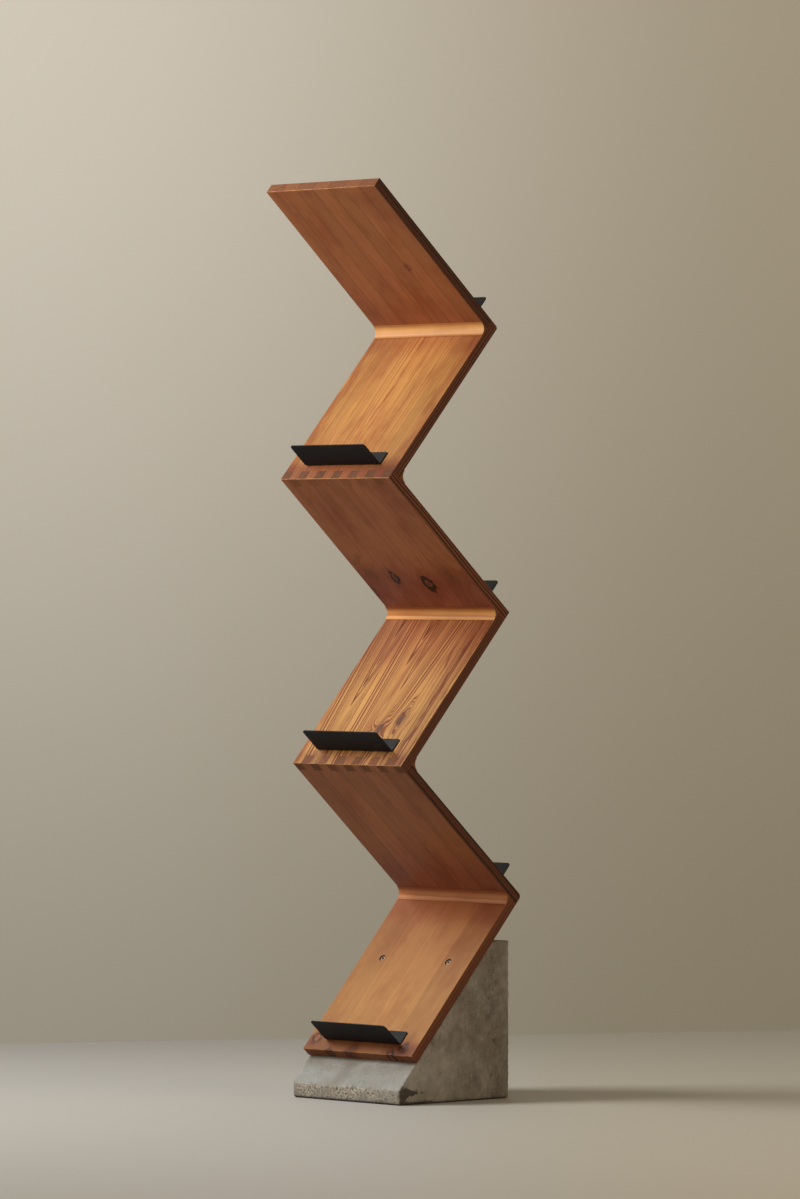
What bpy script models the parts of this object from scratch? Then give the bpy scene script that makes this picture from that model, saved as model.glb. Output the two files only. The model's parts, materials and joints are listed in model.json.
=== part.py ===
"""Magazine shelf: six boards finger-jointed into an upright zigzag on a cast concrete foot.

Metres, +Z up. X runs across the boards and Y from front to back, and the origin is the middle of
the foot's underside. Boards are numbered from the foot up. The odd ones rise to the back and carry
their ledge on the front, the even ones rise to the front and carry it on the back.
"""
import math
from collections import namedtuple

import bmesh
import bpy
from mathutils import Matrix, Vector

# Clearance between pieces that touch, and how far a cutter reaches past what it cuts
FIT_GAP = 0.0003
CUT_PAST = 0.002

# Boards
BOARD_WIDTH = 0.300
BOARD_THICKNESS = 0.020
BOARD_LENGTH = 0.400
END_BOARD_LENGTH = 0.407
BOARD_RISE = math.radians(48.3)
BOARD_EASE = 0.0008
FRONT_CORNER_RADIUS = 0.0015
REAR_CORNER_RADIUS = 0.012

# Finger joints, from the foot up: does the upper board have the fingers at the side edges
FINGER_COUNT = 13
UPPER_BOARD_HAS_SIDE_FINGERS = (True, True, True, False, False)

# Cove strips in the inner corners
COVE_LEG = 0.018
COVE_EDGE = 0.0015

# Bent ledges: the leg lies on the board, the lip stands square to it
LEDGE_WIDTH = 0.206
LEDGE_LEG = 0.031
LEDGE_LIP = 0.056
LEDGE_SHEET = 0.002
LEDGE_BEND_RADIUS = 0.004
LIP_CORNER_RADIUS = 0.007
LEG_CORNER_RADIUS = 0.003
BOTTOM_LEDGE_SETBACK = 0.024
FRONT_LEDGE_SETBACK = 0.033
REAR_LEDGE_SETBACK = 0.026

# Countersunk screws through the ledges' legs
SCREW_SPACING = 0.130
SCREW_EDGE = 0.011
SCREW_HEAD_RADIUS = 0.0035
SCREW_RADIUS = 0.0018
SCREW_TIP_COVER = 0.006

# Concrete foot
FOOT_INSET = 0.001
FOOT_HEIGHT = 0.298
FOOT_FRONT_HEIGHT = 0.027
FOOT_TOP_DEPTH = 0.042
FOOT_REVEAL = 0.067
FOOT_EDGE_RADIUS = 0.004

# Bolts that hold the bottom board to the foot
BOLT_SPACING = 0.182
BOLT_BELOW_TOP = 0.070
BOLT_RADIUS = 0.003
BOLT_HEAD_RADIUS = 0.005
BOLT_HEAD_HEIGHT = 0.006
BOLT_SOCKET_FLATS = 0.005
BOLT_SOCKET_DEPTH = 0.003
BOLT_TIP_SPACE = 0.012
WASHER_RADIUS = 0.006
WASHER_THICKNESS = 0.0016
COUNTERBORE_CLEARANCE = 0.0008
BOARD_UNDER_WASHER = 0.010
SLEEVE_RADIUS = 0.005
SLEEVE_LENGTH = 0.045

# Facets of round forms
CORNER_SEGMENTS = 6
EASE_SEGMENTS = 1
BEND_SEGMENTS = 5
COVE_SEGMENTS = 12
ROUND_STEPS = 20
SMOOTH_ANGLE = math.radians(40)
MERGE_DISTANCE = 0.00001

# Finishes: colour, roughness, metallic
PINE = ((0.50, 0.20, 0.07, 1.0), 0.45, 0.0)
PALE_PINE = ((0.62, 0.30, 0.12, 1.0), 0.45, 0.0)
BLACK_COAT = ((0.016, 0.016, 0.017, 1.0), 0.5, 0.0)
CONCRETE = ((0.27, 0.25, 0.20, 1.0), 0.9, 0.0)
ZINC = ((0.55, 0.55, 0.53, 1.0), 0.35, 1.0)

RIGHT_ANGLE = math.pi / 2
BOARD_COUNT = len(UPPER_BOARD_HAS_SIDE_FINGERS) + 1
FINGER_PITCH = BOARD_WIDTH / FINGER_COUNT
# Up along a board that rises to the back, and up along one that rises to the front
BACKWARD = Vector((0.0, math.cos(BOARD_RISE), math.sin(BOARD_RISE)))
FORWARD = Vector((0.0, -math.sin(BOARD_RISE), math.cos(BOARD_RISE)))

FOOT_SLOPE_LENGTH = (FOOT_HEIGHT - FOOT_FRONT_HEIGHT) / math.sin(BOARD_RISE)
FOOT_DEPTH = FOOT_SLOPE_LENGTH * math.cos(BOARD_RISE) + FOOT_TOP_DEPTH
FOOT_SLOPE_START = Vector((0.0, -FOOT_DEPTH / 2, FOOT_FRONT_HEIGHT))
# Outline plane of the foot: its first axis is the world's Y, its second is Z
FOOT_PLANE = Matrix(((0, 0, 1, 0), (1, 0, 0, 0), (0, 1, 0, 0), (0, 0, 0, 1)))

SCREW_LENGTH = LEDGE_SHEET + FIT_GAP + BOARD_THICKNESS - SCREW_TIP_COVER
COUNTERBORE_DEPTH = BOARD_THICKNESS - BOARD_UNDER_WASHER
BOLT_RISE = FOOT_SLOPE_LENGTH - BOLT_BELOW_TOP - FOOT_REVEAL

# A board's own frame: X across it, Y up along it from its lower end, Z through its thickness. The
# face at Z = 0 is the back of the zigzag, the one at Z = BOARD_THICKNESS is the front.
BoardPlan = namedtuple("BoardPlan", "number name matrix length rises_back")


def clear_scene():
    """Remove what the file holds."""
    for obj in list(bpy.data.objects):
        bpy.data.objects.remove(obj, do_unlink=True)


def new_collection(name):
    """Return a new collection in the scene."""
    collection = bpy.data.collections.new(name)
    bpy.context.scene.collection.children.link(collection)
    return collection


def mesh_from(bm, name):
    """Return a mesh made from the edit mesh, which is freed."""
    mesh = bpy.data.meshes.new(name)
    bm.to_mesh(mesh)
    bm.free()
    return mesh


def add_part(name, mesh, matrix, finish):
    """Add one piece of the shelf at its place, with a material of its own."""
    colour, roughness, metallic = finish
    material = bpy.data.materials.new(name + "_finish")
    material.use_nodes = True
    shader = material.node_tree.nodes["Principled BSDF"]
    shader.inputs["Base Color"].default_value = colour
    shader.inputs["Roughness"].default_value = roughness
    shader.inputs["Metallic"].default_value = metallic
    mesh.materials.append(material)
    part = bpy.data.objects.new(name, mesh)
    parts.objects.link(part)
    part.parent = shelf
    part.matrix_world = matrix
    return part


def add_cutter(name, mesh, matrix):
    """Add a shape that only cuts others."""
    cutter = bpy.data.objects.new(name, mesh)
    cutters.objects.link(cutter)
    cutter.matrix_world = matrix
    cutter.hide_render = True
    cutter.display_type = "WIRE"
    return cutter


def cut(part, cutter):
    """Cut the cutter's shape out of the part."""
    boolean = part.modifiers.new(cutter.name, "BOOLEAN")
    boolean.operation = "DIFFERENCE"
    boolean.solver = "EXACT"
    boolean.object = cutter


def add_box(bm, low, high):
    """Add a box between two corners."""
    size = high - low
    place = Matrix.Translation((low + high) / 2) @ Matrix.Diagonal((*size, 1.0))
    bmesh.ops.create_cube(bm, size=1.0, matrix=place)


def near(value, target):
    """Tell whether a coordinate lies at a plane."""
    return abs(value - target) < MERGE_DISTANCE


def bevel_edges(bm, edges, radius, segments):
    """Round the given edges."""
    bmesh.ops.bevel(bm, geom=edges, offset=radius, offset_type="OFFSET", segments=segments,
                    profile=0.5, affect="EDGES", clamp_overlap=True)


def bevel_corners(bm, verts, radius):
    """Round the corners of an open sheet."""
    bmesh.ops.bevel(bm, geom=verts, offset=radius, offset_type="OFFSET", segments=CORNER_SEGMENTS,
                    profile=0.5, affect="VERTICES", clamp_overlap=True)


def prism_mesh(name, outline, width):
    """Return a closed mesh: a flat outline, given thickness evenly about its plane."""
    curve = bpy.data.curves.new(name, "CURVE")
    curve.dimensions = "2D"
    curve.fill_mode = "BOTH"
    curve.extrude = width / 2
    spline = curve.splines.new("POLY")
    spline.points.add(len(outline) - 1)
    for point, (along, across) in zip(spline.points, outline):
        point.co = (along, across, 0.0, 1.0)
    spline.use_cyclic_u = True
    holder = bpy.data.objects.new(name, curve)
    bpy.context.scene.collection.objects.link(holder)
    evaluated = holder.evaluated_get(bpy.context.evaluated_depsgraph_get())
    flat_mesh = bpy.data.meshes.new_from_object(evaluated)
    bpy.data.objects.remove(holder, do_unlink=True)
    bm = bmesh.new()
    bm.from_mesh(flat_mesh)
    bpy.data.meshes.remove(flat_mesh)
    bmesh.ops.remove_doubles(bm, verts=bm.verts, dist=MERGE_DISTANCE)
    bmesh.ops.recalc_face_normals(bm, faces=bm.faces)
    return mesh_from(bm, name)


def turned_mesh(name, profile, closed):
    """Return a mesh turned about Z from (radius, height) points that run down the outer side."""
    mesh = bpy.data.meshes.new(name)
    verts = [(radius, 0.0, height) for radius, height in profile]
    edges = [(i, i + 1) for i in range(len(verts) - 1)]
    if closed:
        edges.append((len(verts) - 1, 0))
    mesh.from_pydata(verts, edges, [])
    holder = bpy.data.objects.new(name, mesh)
    bpy.context.scene.collection.objects.link(holder)
    screw = holder.modifiers.new("turn", "SCREW")
    screw.axis = "Z"
    screw.steps = ROUND_STEPS
    screw.render_steps = ROUND_STEPS
    screw.use_merge_vertices = True
    screw.merge_threshold = MERGE_DISTANCE
    evaluated = holder.evaluated_get(bpy.context.evaluated_depsgraph_get())
    turned = bpy.data.meshes.new_from_object(evaluated)
    bpy.data.objects.remove(holder, do_unlink=True)
    turned.name = name
    turned.shade_smooth()
    turned.set_sharp_from_angle(angle=SMOOTH_ANGLE)
    return turned


def plan_boards():
    """Work out each board's place, from the foot up."""
    plans = []
    corner = FOOT_SLOPE_START + BACKWARD * FOOT_REVEAL + FORWARD * FIT_GAP
    for number in range(1, BOARD_COUNT + 1):
        rises_back = number % 2 == 1
        at_end = number in (1, BOARD_COUNT)
        length = END_BOARD_LENGTH if at_end else BOARD_LENGTH
        turn = BOARD_RISE if rises_back else BOARD_RISE + RIGHT_ANGLE
        matrix = Matrix.Translation(corner) @ Matrix.Rotation(turn, 4, "X")
        plans.append(BoardPlan(number, f"board_{number}", matrix, length, rises_back))
        if rises_back:
            corner = corner + BACKWARD * length
        else:
            corner = corner + FORWARD * (length - BOARD_THICKNESS) - BACKWARD * BOARD_THICKNESS
    return plans


def board_mesh(plan):
    """Return a board with its outer corners rounded and its other edges eased."""
    bm = bmesh.new()
    half_width = BOARD_WIDTH / 2
    add_box(bm, Vector((-half_width, 0.0, 0.0)), Vector((half_width, plan.length, BOARD_THICKNESS)))
    front = (BOARD_THICKNESS, FRONT_CORNER_RADIUS)
    rear = (0.0, REAR_CORNER_RADIUS)
    ends = []
    if plan.number > 1:
        ends.append((0.0, *(front if plan.rises_back else rear)))
    if plan.number < BOARD_COUNT:
        ends.append((plan.length, *(rear if plan.rises_back else front)))
    for along, height, radius in ends:
        outer = [e for e in bm.edges if all(near(v.co.y, along) and near(v.co.z, height) for v in e.verts)]
        bevel_edges(bm, outer, radius, CORNER_SEGMENTS)
    free_ends = {1: 0.0, BOARD_COUNT: plan.length}
    eased = [e for e in bm.edges if near(e.verts[0].co.x, e.verts[1].co.x)
             and near(abs(e.verts[0].co.x), half_width)]
    if plan.number in free_ends:
        free = free_ends[plan.number]
        eased += [e for e in bm.edges if all(near(v.co.y, free) for v in e.verts) and e not in eased]
    bevel_edges(bm, eased, BOARD_EASE, EASE_SEGMENTS)
    return mesh_from(bm, plan.name)


def comb_mesh(name, first_notch, start, stop):
    """Return the boxes that cut every second finger's place out of a board's end."""
    bm = bmesh.new()
    half_width = BOARD_WIDTH / 2
    for finger in range(first_notch, FINGER_COUNT, 2):
        left = finger * FINGER_PITCH - half_width - FIT_GAP / 2
        right = left + FINGER_PITCH + FIT_GAP
        if finger == 0:
            left -= CUT_PAST
        if finger == FINGER_COUNT - 1:
            right += CUT_PAST
        add_box(bm, Vector((left, start, -CUT_PAST)), Vector((right, stop, BOARD_THICKNESS + CUT_PAST)))
    return mesh_from(bm, name)


def add_board(plan):
    """Add a board and cut the fingers of its joints."""
    board = add_part(plan.name, board_mesh(plan), plan.matrix, PINE)
    depth = BOARD_THICKNESS + FIT_GAP
    if plan.number > 1:
        side_fingers = UPPER_BOARD_HAS_SIDE_FINGERS[plan.number - 2]
        comb = comb_mesh(plan.name + "_lower_comb", int(side_fingers), -CUT_PAST, depth)
        cut(board, add_cutter(comb.name, comb, plan.matrix))
    if plan.number < BOARD_COUNT:
        side_fingers = not UPPER_BOARD_HAS_SIDE_FINGERS[plan.number - 1]
        comb = comb_mesh(plan.name + "_upper_comb", int(side_fingers), plan.length - depth,
                         plan.length + CUT_PAST)
        cut(board, add_cutter(comb.name, comb, plan.matrix))
    return board


def add_cove(lower):
    """Add the cove strip in the inner corner above a board."""
    height = BOARD_THICKNESS if lower.rises_back else 0.0
    corner = lower.matrix @ Vector((0.0, lower.length - BOARD_THICKNESS, height))
    down, up = (-BACKWARD, FORWARD) if lower.rises_back else (-FORWARD, BACKWARD)
    frame = Matrix((down, up, down.cross(up))).transposed().to_4x4()
    outline = [(FIT_GAP, FIT_GAP), (COVE_LEG, FIT_GAP)]
    radius = COVE_LEG - FIT_GAP - COVE_EDGE
    for step in range(COVE_SEGMENTS + 1):
        angle = RIGHT_ANGLE * step / COVE_SEGMENTS
        outline.append((COVE_LEG - radius * math.sin(angle), COVE_LEG - radius * math.cos(angle)))
    outline.append((FIT_GAP, COVE_LEG))
    name = f"cove_strip_{lower.number}"
    mesh = prism_mesh(name, outline, BOARD_WIDTH)
    mesh.shade_smooth()
    mesh.set_sharp_from_angle(angle=SMOOTH_ANGLE)
    add_part(name, mesh, Matrix.Translation(corner) @ frame, PALE_PINE)


def ledge_frame(plan):
    """Return a ledge's frame: Y up along the board from the bend, Z out of the board's face."""
    if not plan.rises_back:
        place = Matrix.Translation((0.0, REAR_LEDGE_SETBACK, 0.0))
        return plan.matrix @ place @ Matrix.Rotation(math.pi, 4, "Y")
    setback = BOTTOM_LEDGE_SETBACK if plan.number == 1 else FRONT_LEDGE_SETBACK
    return plan.matrix @ Matrix.Translation((0.0, setback, BOARD_THICKNESS))


def ledge_mesh(name):
    """Return the ledge as an open sheet: a leg, a quarter bend and a lip with round corners."""
    bm = bmesh.new()
    flat = LEDGE_LEG - LEDGE_BEND_RADIUS
    place = Matrix.Translation((0.0, LEDGE_BEND_RADIUS + flat / 2, FIT_GAP))
    bmesh.ops.create_grid(bm, x_segments=1, y_segments=1, size=0.5,
                          matrix=place @ Matrix.Diagonal((LEDGE_WIDTH, flat, 1.0, 1.0)))
    bend = [e for e in bm.edges if all(near(v.co.y, LEDGE_BEND_RADIUS) for v in e.verts)]
    turned = bmesh.ops.spin(bm, geom=bend + list(bend[0].verts), axis=(1.0, 0.0, 0.0),
                            cent=(0.0, LEDGE_BEND_RADIUS, FIT_GAP + LEDGE_BEND_RADIUS),
                            angle=-RIGHT_ANGLE, steps=BEND_SEGMENTS)
    last = [g for g in turned["geom_last"] if isinstance(g, bmesh.types.BMEdge)]
    lip = bmesh.ops.extrude_edge_only(bm, edges=last)
    tips = [g for g in lip["geom"] if isinstance(g, bmesh.types.BMVert)]
    bmesh.ops.translate(bm, verts=tips, vec=(0.0, 0.0, LEDGE_LIP - LEDGE_BEND_RADIUS - FIT_GAP))
    bmesh.ops.recalc_face_normals(bm, faces=bm.faces)
    bevel_corners(bm, tips, LIP_CORNER_RADIUS)
    bevel_corners(bm, [v for v in bm.verts if near(v.co.y, LEDGE_LEG)], LEG_CORNER_RADIUS)
    return mesh_from(bm, name)


def add_ledge(plan, board):
    """Add a board's ledge and the two screws that hold it."""
    frame = ledge_frame(plan)
    name = f"ledge_{plan.number}"
    ledge = add_part(name, ledge_mesh(name), frame, BLACK_COAT)
    sheet = ledge.modifiers.new("sheet", "SOLIDIFY")
    sheet.thickness = LEDGE_SHEET
    sheet.offset = -1.0
    sheet.use_even_offset = True
    cone = SCREW_HEAD_RADIUS - SCREW_RADIUS
    screw_profile = ((0.0, 0.0), (SCREW_HEAD_RADIUS, 0.0), (SCREW_RADIUS, -cone),
                     (SCREW_RADIUS, SCREW_RADIUS - SCREW_LENGTH), (0.0, -SCREW_LENGTH))
    wide = SCREW_HEAD_RADIUS + FIT_GAP
    narrow = SCREW_RADIUS + FIT_GAP
    hole_bottom = -SCREW_LENGTH - FIT_GAP
    hole_profile = ((0.0, CUT_PAST), (wide, CUT_PAST), (wide, 0.0), (narrow, -cone),
                    (narrow, hole_bottom), (0.0, hole_bottom))
    for side, hand in ((-1, "left"), (1, "right")):
        seat = frame @ Matrix.Translation((side * SCREW_SPACING / 2, LEDGE_LEG - SCREW_EDGE,
                                           FIT_GAP + LEDGE_SHEET))
        screw_name = f"ledge_{plan.number}_screw_{hand}"
        hole = add_cutter(screw_name + "_hole", turned_mesh(screw_name + "_hole", hole_profile, False), seat)
        cut(ledge, hole)
        cut(board, hole)
        add_part(screw_name, turned_mesh(screw_name, screw_profile, False), seat, BLACK_COAT)


def add_foot():
    """Add the concrete foot, a wedge whose slope carries the bottom board."""
    slope_top = FOOT_SLOPE_START + BACKWARD * FOOT_SLOPE_LENGTH
    half_depth = FOOT_DEPTH / 2
    outline = ((-half_depth, 0.0), (half_depth, 0.0), (half_depth, FOOT_HEIGHT),
               (slope_top.y, slope_top.z), (-half_depth, FOOT_FRONT_HEIGHT))
    name = "concrete_foot"
    mesh = prism_mesh(name, outline, BOARD_WIDTH - 2 * FOOT_INSET)
    bm = bmesh.new()
    bm.from_mesh(mesh)
    bmesh.ops.dissolve_limit(bm, angle_limit=math.radians(1), verts=bm.verts, edges=bm.edges)
    bevel_edges(bm, list(bm.edges), FOOT_EDGE_RADIUS, EASE_SEGMENTS + 1)
    bm.to_mesh(mesh)
    bm.free()
    return add_part(name, mesh, FOOT_PLANE, CONCRETE)


def add_bolt(plan, board, foot, side, hand):
    """Add one bolt with its washer and its sleeve in the foot, and cut their holes."""
    seat = plan.matrix @ Matrix.Translation((side * BOLT_SPACING / 2, BOLT_RISE, BOARD_THICKNESS))
    counterbore = WASHER_RADIUS + COUNTERBORE_CLEARANCE
    clear = BOLT_RADIUS + FIT_GAP
    floor = -COUNTERBORE_DEPTH
    washer_low = floor + FIT_GAP
    washer_high = washer_low + WASHER_THICKNESS
    head_low = washer_high + FIT_GAP
    head_high = head_low + BOLT_HEAD_HEIGHT
    sleeve_high = -BOARD_THICKNESS - 2 * FIT_GAP
    sleeve_low = sleeve_high - SLEEVE_LENGTH
    tip = sleeve_low + BOLT_TIP_SPACE

    def turned_part(name, profile, closed):
        return add_part(name, turned_mesh(name, profile, closed), seat, ZINC)

    def turned_cutter(name, profile):
        return add_cutter(name, turned_mesh(name, profile, False), seat)

    bolt_name = f"foot_bolt_{hand}"
    bolt = turned_part(bolt_name, ((0.0, head_high), (BOLT_HEAD_RADIUS, head_high),
                                   (BOLT_HEAD_RADIUS, head_low), (BOLT_RADIUS, head_low),
                                   (BOLT_RADIUS, tip), (0.0, tip)), False)
    bm = bmesh.new()
    across_corners = BOLT_SOCKET_FLATS / 2 / math.cos(math.pi / 6)
    socket_height = BOLT_SOCKET_DEPTH + CUT_PAST
    middle = head_high - BOLT_SOCKET_DEPTH + socket_height / 2
    bmesh.ops.create_cone(bm, cap_ends=True, segments=6, radius1=across_corners, radius2=across_corners,
                          depth=socket_height, matrix=Matrix.Translation((0.0, 0.0, middle)))
    cut(bolt, add_cutter(bolt_name + "_socket", mesh_from(bm, bolt_name + "_socket"), seat))

    turned_part(f"foot_washer_{hand}", ((clear, washer_high), (WASHER_RADIUS, washer_high),
                                        (WASHER_RADIUS, washer_low), (clear, washer_low)), True)
    turned_part(f"foot_sleeve_{hand}", ((clear, sleeve_high), (SLEEVE_RADIUS, sleeve_high),
                                        (SLEEVE_RADIUS, sleeve_low), (clear, sleeve_low)), True)

    through = -BOARD_THICKNESS - CUT_PAST
    cut(board, turned_cutter(bolt_name + "_hole", ((0.0, CUT_PAST), (counterbore, CUT_PAST),
                                                   (counterbore, floor), (clear, floor),
                                                   (clear, through), (0.0, through))))
    sleeve_hole = SLEEVE_RADIUS + FIT_GAP
    bottom = sleeve_low - FIT_GAP
    cut(foot, turned_cutter(bolt_name + "_sleeve_hole", ((0.0, CUT_PAST - BOARD_THICKNESS),
                                                         (sleeve_hole, CUT_PAST - BOARD_THICKNESS),
                                                         (sleeve_hole, bottom), (0.0, bottom))))


def build_shelf():
    """Model the whole shelf."""
    foot = add_foot()
    plans = plan_boards()
    for plan in plans:
        board = add_board(plan)
        add_ledge(plan, board)
        if plan.number < BOARD_COUNT:
            add_cove(plan)
        if plan.number == 1:
            add_bolt(plan, board, foot, -1, "left")
            add_bolt(plan, board, foot, 1, "right")


clear_scene()
parts = new_collection("magazine_shelf")
cutters = new_collection("magazine_shelf_cutters")
shelf = bpy.data.objects.new("magazine_shelf_origin", None)
parts.objects.link(shelf)
build_shelf()
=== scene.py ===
"""Magazine shelf: the pieces as they look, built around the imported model.

Metres, +Z up. X runs across the boards and Y from front to back. Boards are numbered from the foot
up. The odd ones rise to the back and carry their ledge on the front, the even ones rise to the front
and carry it on the back. The file is laid out as an add-on and is run as a script.
"""
import json
import math
from collections import namedtuple

import bmesh
import bpy
from mathutils import Matrix, Vector

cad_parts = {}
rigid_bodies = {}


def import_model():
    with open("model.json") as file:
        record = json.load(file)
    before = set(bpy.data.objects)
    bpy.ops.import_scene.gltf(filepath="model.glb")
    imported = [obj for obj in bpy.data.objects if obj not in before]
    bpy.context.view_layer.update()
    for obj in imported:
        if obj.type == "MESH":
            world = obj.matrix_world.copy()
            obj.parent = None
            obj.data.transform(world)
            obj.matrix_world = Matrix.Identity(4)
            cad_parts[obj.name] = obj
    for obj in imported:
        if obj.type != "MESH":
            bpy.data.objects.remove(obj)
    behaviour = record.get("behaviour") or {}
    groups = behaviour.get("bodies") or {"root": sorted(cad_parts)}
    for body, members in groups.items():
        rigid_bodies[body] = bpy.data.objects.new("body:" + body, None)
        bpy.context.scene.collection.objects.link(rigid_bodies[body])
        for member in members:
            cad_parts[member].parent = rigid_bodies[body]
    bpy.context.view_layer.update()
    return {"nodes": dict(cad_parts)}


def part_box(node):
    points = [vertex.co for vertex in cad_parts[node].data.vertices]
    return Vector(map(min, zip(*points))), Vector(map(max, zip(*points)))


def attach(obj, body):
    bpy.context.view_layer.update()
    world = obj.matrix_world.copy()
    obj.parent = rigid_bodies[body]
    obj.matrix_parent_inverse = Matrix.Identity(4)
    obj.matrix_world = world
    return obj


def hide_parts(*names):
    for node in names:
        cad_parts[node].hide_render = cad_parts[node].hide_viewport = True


bl_info = {
    "name": "Magazine Shelf",
    "version": (1, 0, 0),
    "blender": (4, 5, 0),
    "location": "View3D > Sidebar > Shelf",
    "description": "Builds a finger-jointed magazine shelf on a concrete foot",
    "category": "Object",
}

# The scene starts empty
for leftover in list(bpy.data.objects):
    bpy.data.objects.remove(leftover, do_unlink=True)
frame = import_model()

BODY = "root"
ACROSS = Vector((1.0, 0.0, 0.0))
# Points this near count as one place, and a normal this far along an axis counts as square to it
NEAR = 0.00002
SQUARE_ON = 0.9
HANDS = ("left", "right")
BOARD_COUNT = 6

# Finger joints, from the foot up: does the upper board have the fingers at the side edges
FINGER_COUNT = 13
UPPER_HAS_SIDE_FINGERS = (True, True, True, False, False)

BoardPlace = namedtuple("BoardPlace", "number matrix width length thickness rises_back")


def paint(red, green, blue):
    """Return the linear colour of a swatch given from 0 to 255."""
    def linear(level):
        share = level / 255
        return share / 12.92 if share <= 0.04045 else ((share + 0.055) / 1.055) ** 2.4
    return (linear(red), linear(green), linear(blue), 1.0)


def swatch(name, description, *levels):
    """Return a colour setting, given as red, green and blue from 0 to 255."""
    return bpy.props.FloatVectorProperty(name=name, description=description, subtype="COLOR", size=4,
                                         min=0.0, max=1.0, default=paint(*levels))


def size(name, description, metres):
    """Return a length setting."""
    return bpy.props.FloatProperty(name=name, description=description, default=metres, min=0.0,
                                   precision=5, subtype="DISTANCE", unit="LENGTH")


def power(name, description, watts):
    """Return a lamp's power setting."""
    return bpy.props.FloatProperty(name=name, description=description, default=watts, min=0.0, unit="POWER")


def amount(name, description, value, highest=10.0):
    """Return a plain number setting."""
    return bpy.props.FloatProperty(name=name, description=description, default=value, min=0.0, max=highest)


# Where the CAD pieces are

def box_in(node, matrix):
    """Return a CAD node's lowest and highest corner along the axes of a frame."""
    inverse = matrix.inverted()
    points = [inverse @ vert.co for vert in frame["nodes"][node].data.vertices]
    return (Vector([min(p[axis] for p in points) for axis in range(3)]),
            Vector([max(p[axis] for p in points) for axis in range(3)]))


def axes_matrix(origin, first, second, third):
    """Return the frame with these axes at an origin."""
    turn = Matrix((first, second, third)).transposed().to_4x4()
    return Matrix.Translation(origin) @ turn


def find_board(number):
    """Return a board's frame: X across, Y up along it from its lower end, Z out of the zigzag's front."""
    node = f"board_{number}"
    spread = {}
    for face in frame["nodes"][node].data.polygons:
        key = tuple(round(part, 2) for part in face.normal)
        spread[key] = spread.get(key, Vector()) + face.normal * face.area
    front = max(spread.values(), key=lambda normal: normal.length).normalized()
    if front.y > 0:
        front = -front
    along = front.cross(ACROSS)
    turn = axes_matrix(Vector(), ACROSS, along, front)
    low, high = box_in(node, turn)
    origin = turn @ Vector(((low.x + high.x) / 2, low.y, low.z))
    extent = high - low
    return BoardPlace(number, Matrix.Translation(origin) @ turn, *extent, rises_back=number % 2 == 1)


BOARDS = {number: find_board(number) for number in range(1, BOARD_COUNT + 1)}


def ledge_matrix(number):
    """Return a ledge's frame: Y up along the board from the bend, Z out of the board's face."""
    board = BOARDS[number]
    bend = box_in(f"ledge_{number}", board.matrix)[0].y
    if board.rises_back:
        return board.matrix @ Matrix.Translation((0.0, bend, board.thickness))
    return board.matrix @ Matrix.Translation((0.0, bend, 0.0)) @ Matrix.Rotation(math.pi, 4, "Y")


def cove_matrix(number):
    """Return the frame of the strip above a board: Y down the lower board, Z up the upper one."""
    board = BOARDS[number]
    height = board.thickness if board.rises_back else 0.0
    corner = board.matrix @ Vector((0.0, board.length - board.thickness, height))
    down = -board.matrix.col[1].to_3d()
    up = BOARDS[number + 1].matrix.col[1].to_3d()
    return axes_matrix(corner, down.cross(up), down, up)


# Settings

class PineSettings(bpy.types.PropertyGroup):
    """Sizes and colours of the boards and cove strips."""
    front_radius: size("Front corner", "Rounding of the zigzag's front corners", 0.0015)
    rear_radii: bpy.props.FloatVectorProperty(name="Rear corners", size=3, default=(0.008, 0.002, 0.005),
                                              description="Radius of each corner at the back, from below",
                                              min=0.0, subtype="XYZ", unit="LENGTH")
    ease: size("Eased edge", "Rounding of the boards' other edges", 0.0007)
    joint_gap: size("Joint line", "Space between neighbouring fingers", 0.0002)
    cove_edge: size("Cove edge", "Flat edge left along a cove strip", 0.0006)
    early_wood: swatch("Early wood", "Pale part of a growth ring", 188, 133, 78)
    late_wood: swatch("Late wood", "Dark part of a growth ring", 112, 55, 22)
    red_streak: swatch("Red streak", "Heartwood streaks along the grain", 146, 78, 42)
    knot_wood: swatch("Knot", "Inside of a knot", 178, 112, 76)
    knot_rim: swatch("Knot rim", "Bark round a knot", 32, 19, 18)
    knot_halo: swatch("Knot halo", "Resin-rich wood round a knot", 126, 62, 38)
    end_grain: swatch("End grain", "Oil-dark wood on the boards' ends", 124, 80, 53)
    edge_pale: swatch("Pale edge", "Early wood along the boards' side edges", 158, 95, 63)
    edge_dark: swatch("Dark edge", "Late wood along the boards' side edges", 38, 20, 14)
    cove_early: swatch("Cove early wood", "Pale part of the cove strips", 222, 164, 98)
    cove_late: swatch("Cove late wood", "Dark part of the cove strips", 184, 114, 60)
    ring_relief: size("Grain relief", "Height of the grain on the surface", 0.00006)
    sheen: amount("Roughness", "Roughness of the oiled wood", 0.44, 1.0)


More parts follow.
